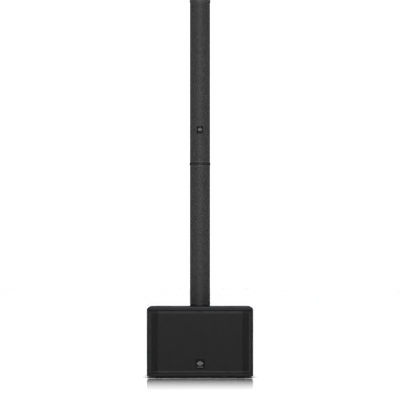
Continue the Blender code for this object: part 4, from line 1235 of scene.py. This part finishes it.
def column_end(node, thickness, edges, stem, stem_y, foot_edge, pocket=None):
    """A plate at a column's end over a narrower stem, which may hold a pocket for the next stem."""
    place = Box(node)
    low = place.high.z - thickness
    at = Matrix.Translation((0.0, stem_y, 0.0))
    plate = column_plate(node, low, *edges)
    boolean(plate, slab("stem", rectangle(*stem), place.low.z, low + STEM_LAP, at, 0.0, foot_edge), "UNION")
    if pocket:
        boolean(plate, slab("pocket", rectangle(*pocket), place.low.z + 0.0035, place.high.z + 0.03, at))
    trim_piece(applied(plate), node, node.rsplit("_", 1)[0])


def column_trim():
    """Base plate, collar, upper base and end cap."""
    column_end("lower_column_base", 0.010, (0.0012, 0.0004), SPIGOT, SOCKET.middle.y, 0.003)
    column_end("lower_column_collar", 0.0065, (0.0012, 0.0003), BOSS, PLUG_Y, 0.001, PLUG_POCKET)
    column_end("upper_column_base", 0.0062, (0.0003, 0.0012), PLUG, PLUG_Y, 0.002)
    node = "upper_column_cap"
    lid = column_plate(node, Box(node).low.z, 0.0006, 0.008)
    finish_piece(lid, cap_plastic, "upper_column", replaces=[node], sharp=30)


def column_badge():
    """A small plate bent to the grille's curve, with the same mark as the base unit."""
    place = Box("upper_column_badge")
    rise = COLUMN_LIP + GRILLE_SET_BACK - COLUMN_NOSE
    outer = nose_radius(COLUMN_HALF - COLUMN_GRILLE_INSET, rise) + GAP + 0.002
    centre_y = place.low.y + outer

    def bend(obj):
        for vert in obj.data.vertices:
            angle = vert.co.x / outer
            radius = outer + vert.co.z
            vert.co = Vector((radius * math.sin(angle), centre_y - radius * math.cos(angle),
                              place.middle.z + vert.co.y))
        return obj

    outline = rectangle(place.size.x, place.size.z, 0.004)
    plate = slab("column_badge_plate", outline, -0.0020, 0.0, None, 0.0006)
    sliced(plate, place.size.x / 2)
    body, node = "upper_column", "upper_column_badge"
    finish_piece(bend(plate), badge_plate_finish, body, replaces=[node])
    mark = emblem("column_badge_mark", COLUMN_EMBLEM_SCALE, 0.0006, Matrix.Identity(4))
    finish_piece(bend(mark), emblem_paint, body)


def sliced(obj, half, strips=12):
    """Cuts the mesh into upright strips, so that it can bend."""
    bm = bmesh.new()
    bm.from_mesh(obj.data)
    for k in range(1, strips):
        x = -half + 2 * half * k / strips
        everything = bm.verts[:] + bm.edges[:] + bm.faces[:]
        bmesh.ops.bisect_plane(bm, geom=everything, plane_co=(x, 0, 0), plane_no=(1, 0, 0))
    bm.to_mesh(obj.data)
    bm.free()


# ---- CAD nodes that stay -----------------------------------------------------

def paint_nodes():
    """Gives the CAD nodes that show as they are their finished materials."""
    looks = {
        "grille_foam": (foam,),
        "front_baffle": (black_board,),
        "woofer_cone_left": (cone_paper, "left"),
        "woofer_cone_right": (cone_paper, "right"),
        "amp_panel": (panel_paint,),
        "amp_heatsink": (anodised,),
        "amp_circuit_board": (circuit_green,),
        "display_window": (display_glass,),
        "encoder_shaft": (bright_steel,),
    }
    for node in ("woofer_frame_left", "woofer_frame_right"):
        looks[node] = (pressed_steel,)
    for node in ("port_tube_upper", "port_tube_lower", "menu_button", "select_button", "back_button",
                 "power_rocker", "tweeter_horn"):
        looks[node] = (trim_plastic,)
    for node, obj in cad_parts.items():
        if "_driver_" in node:
            looks[node] = (pressed_steel,)
        if node in looks:
            for slot in obj.material_slots:
                slot.material = look(*looks[node])


# ---- Studio ------------------------------------------------------------------

def camera():
    data = bpy.data.cameras.new("camera")
    data.lens = CAMERA_LENS
    data.sensor_width = CAMERA_SENSOR
    data.clip_end = 200.0
    obj = add_object("camera", data)
    front = CABINET.low.y
    obj.location = (0.0, front - CAMERA_DISTANCE, CAMERA_HEIGHT)
    aim = Vector((0.0, front, AIM_HEIGHT)) - obj.location
    obj.rotation_euler = aim.to_track_quat("-Z", "Y").to_euler()
    bpy.context.scene.camera = obj


def soft_light(name, place, aim, size, power):
    data = bpy.data.lights.new(name, "AREA")
    data.shape = "RECTANGLE"
    data.size, data.size_y = size
    data.energy = power
    obj = add_object(name, data)
    obj.location = place
    obj.rotation_euler = (Vector(aim) - Vector(place)).to_track_quat("-Z", "Y").to_euler()
    obj.visible_camera = False


def backdrop():
    """A world with white walls up to a low height, and a dim ceiling over them."""
    world = bpy.data.worlds.new("studio")
    bpy.context.scene.world = world
    world.use_nodes = True
    tree = world.node_tree
    background = tree.nodes["Background"]
    background.inputs["Color"].default_value = (1.0, 1.0, 1.0, 1.0)
    where = tree.nodes.new("ShaderNodeTexCoord")
    parts = tree.nodes.new("ShaderNodeSeparateXYZ")
    fall = tree.nodes.new("ShaderNodeMapRange")
    fall.interpolation_type = "SMOOTHSTEP"
    ends = (*WALL_EDGE, WALL_LIGHT, CEILING_LIGHT)
    for key, value in zip(("From Min", "From Max", "To Min", "To Max"), ends):
        fall.inputs[key].default_value = value
    tree.links.new(where.outputs["Generated"], parts.inputs["Vector"])
    tree.links.new(parts.outputs["Z"], fall.inputs["Value"])
    tree.links.new(fall.outputs["Result"], background.inputs["Strength"])


def overhead():
    """A very broad light from straight above, which keeps the floor white."""
    data = bpy.data.lights.new("overhead", "SUN")
    data.energy = OVERHEAD_LIGHT
    data.angle = math.radians(OVERHEAD_ANGLE)
    add_object("overhead", data)


def studio():
    backdrop()
    overhead()
    soft_light("key", KEY_PLACE, KEY_AIM, KEY_SIZE, KEY_POWER)
    bm = bmesh.new()
    bmesh.ops.create_grid(bm, x_segments=1, y_segments=1, size=FLOOR_SIZE)
    floor = from_bmesh("floor", bm)
    floor.data.materials.append(look(floor_surface))
    bpy.context.scene.view_settings.view_transform = "Standard"


# ---- Assembly ----------------------------------------------------------------

def main():
    paint_nodes()
    cabinet()
    for name in ("foot_front_left", "foot_front_right", "foot_rear_left", "foot_rear_right"):
        foot(name)
    handle("left")
    handle("right")
    column_socket()
    bass_grille()
    grille_screws()
    bass_badge()
    panel_screws()
    for channel in "ab":
        jack(f"combo_jack_{channel}", True)
        jack(f"link_jack_{channel}", False)
        gain_knob(channel)
    mains_inlet()
    encoder_knob()
    bezels()
    for level in ("lower", "upper"):
        column_housing(level)
        column_grille(level)
    column_trim()
    column_badge()
    camera()
    studio()


main()
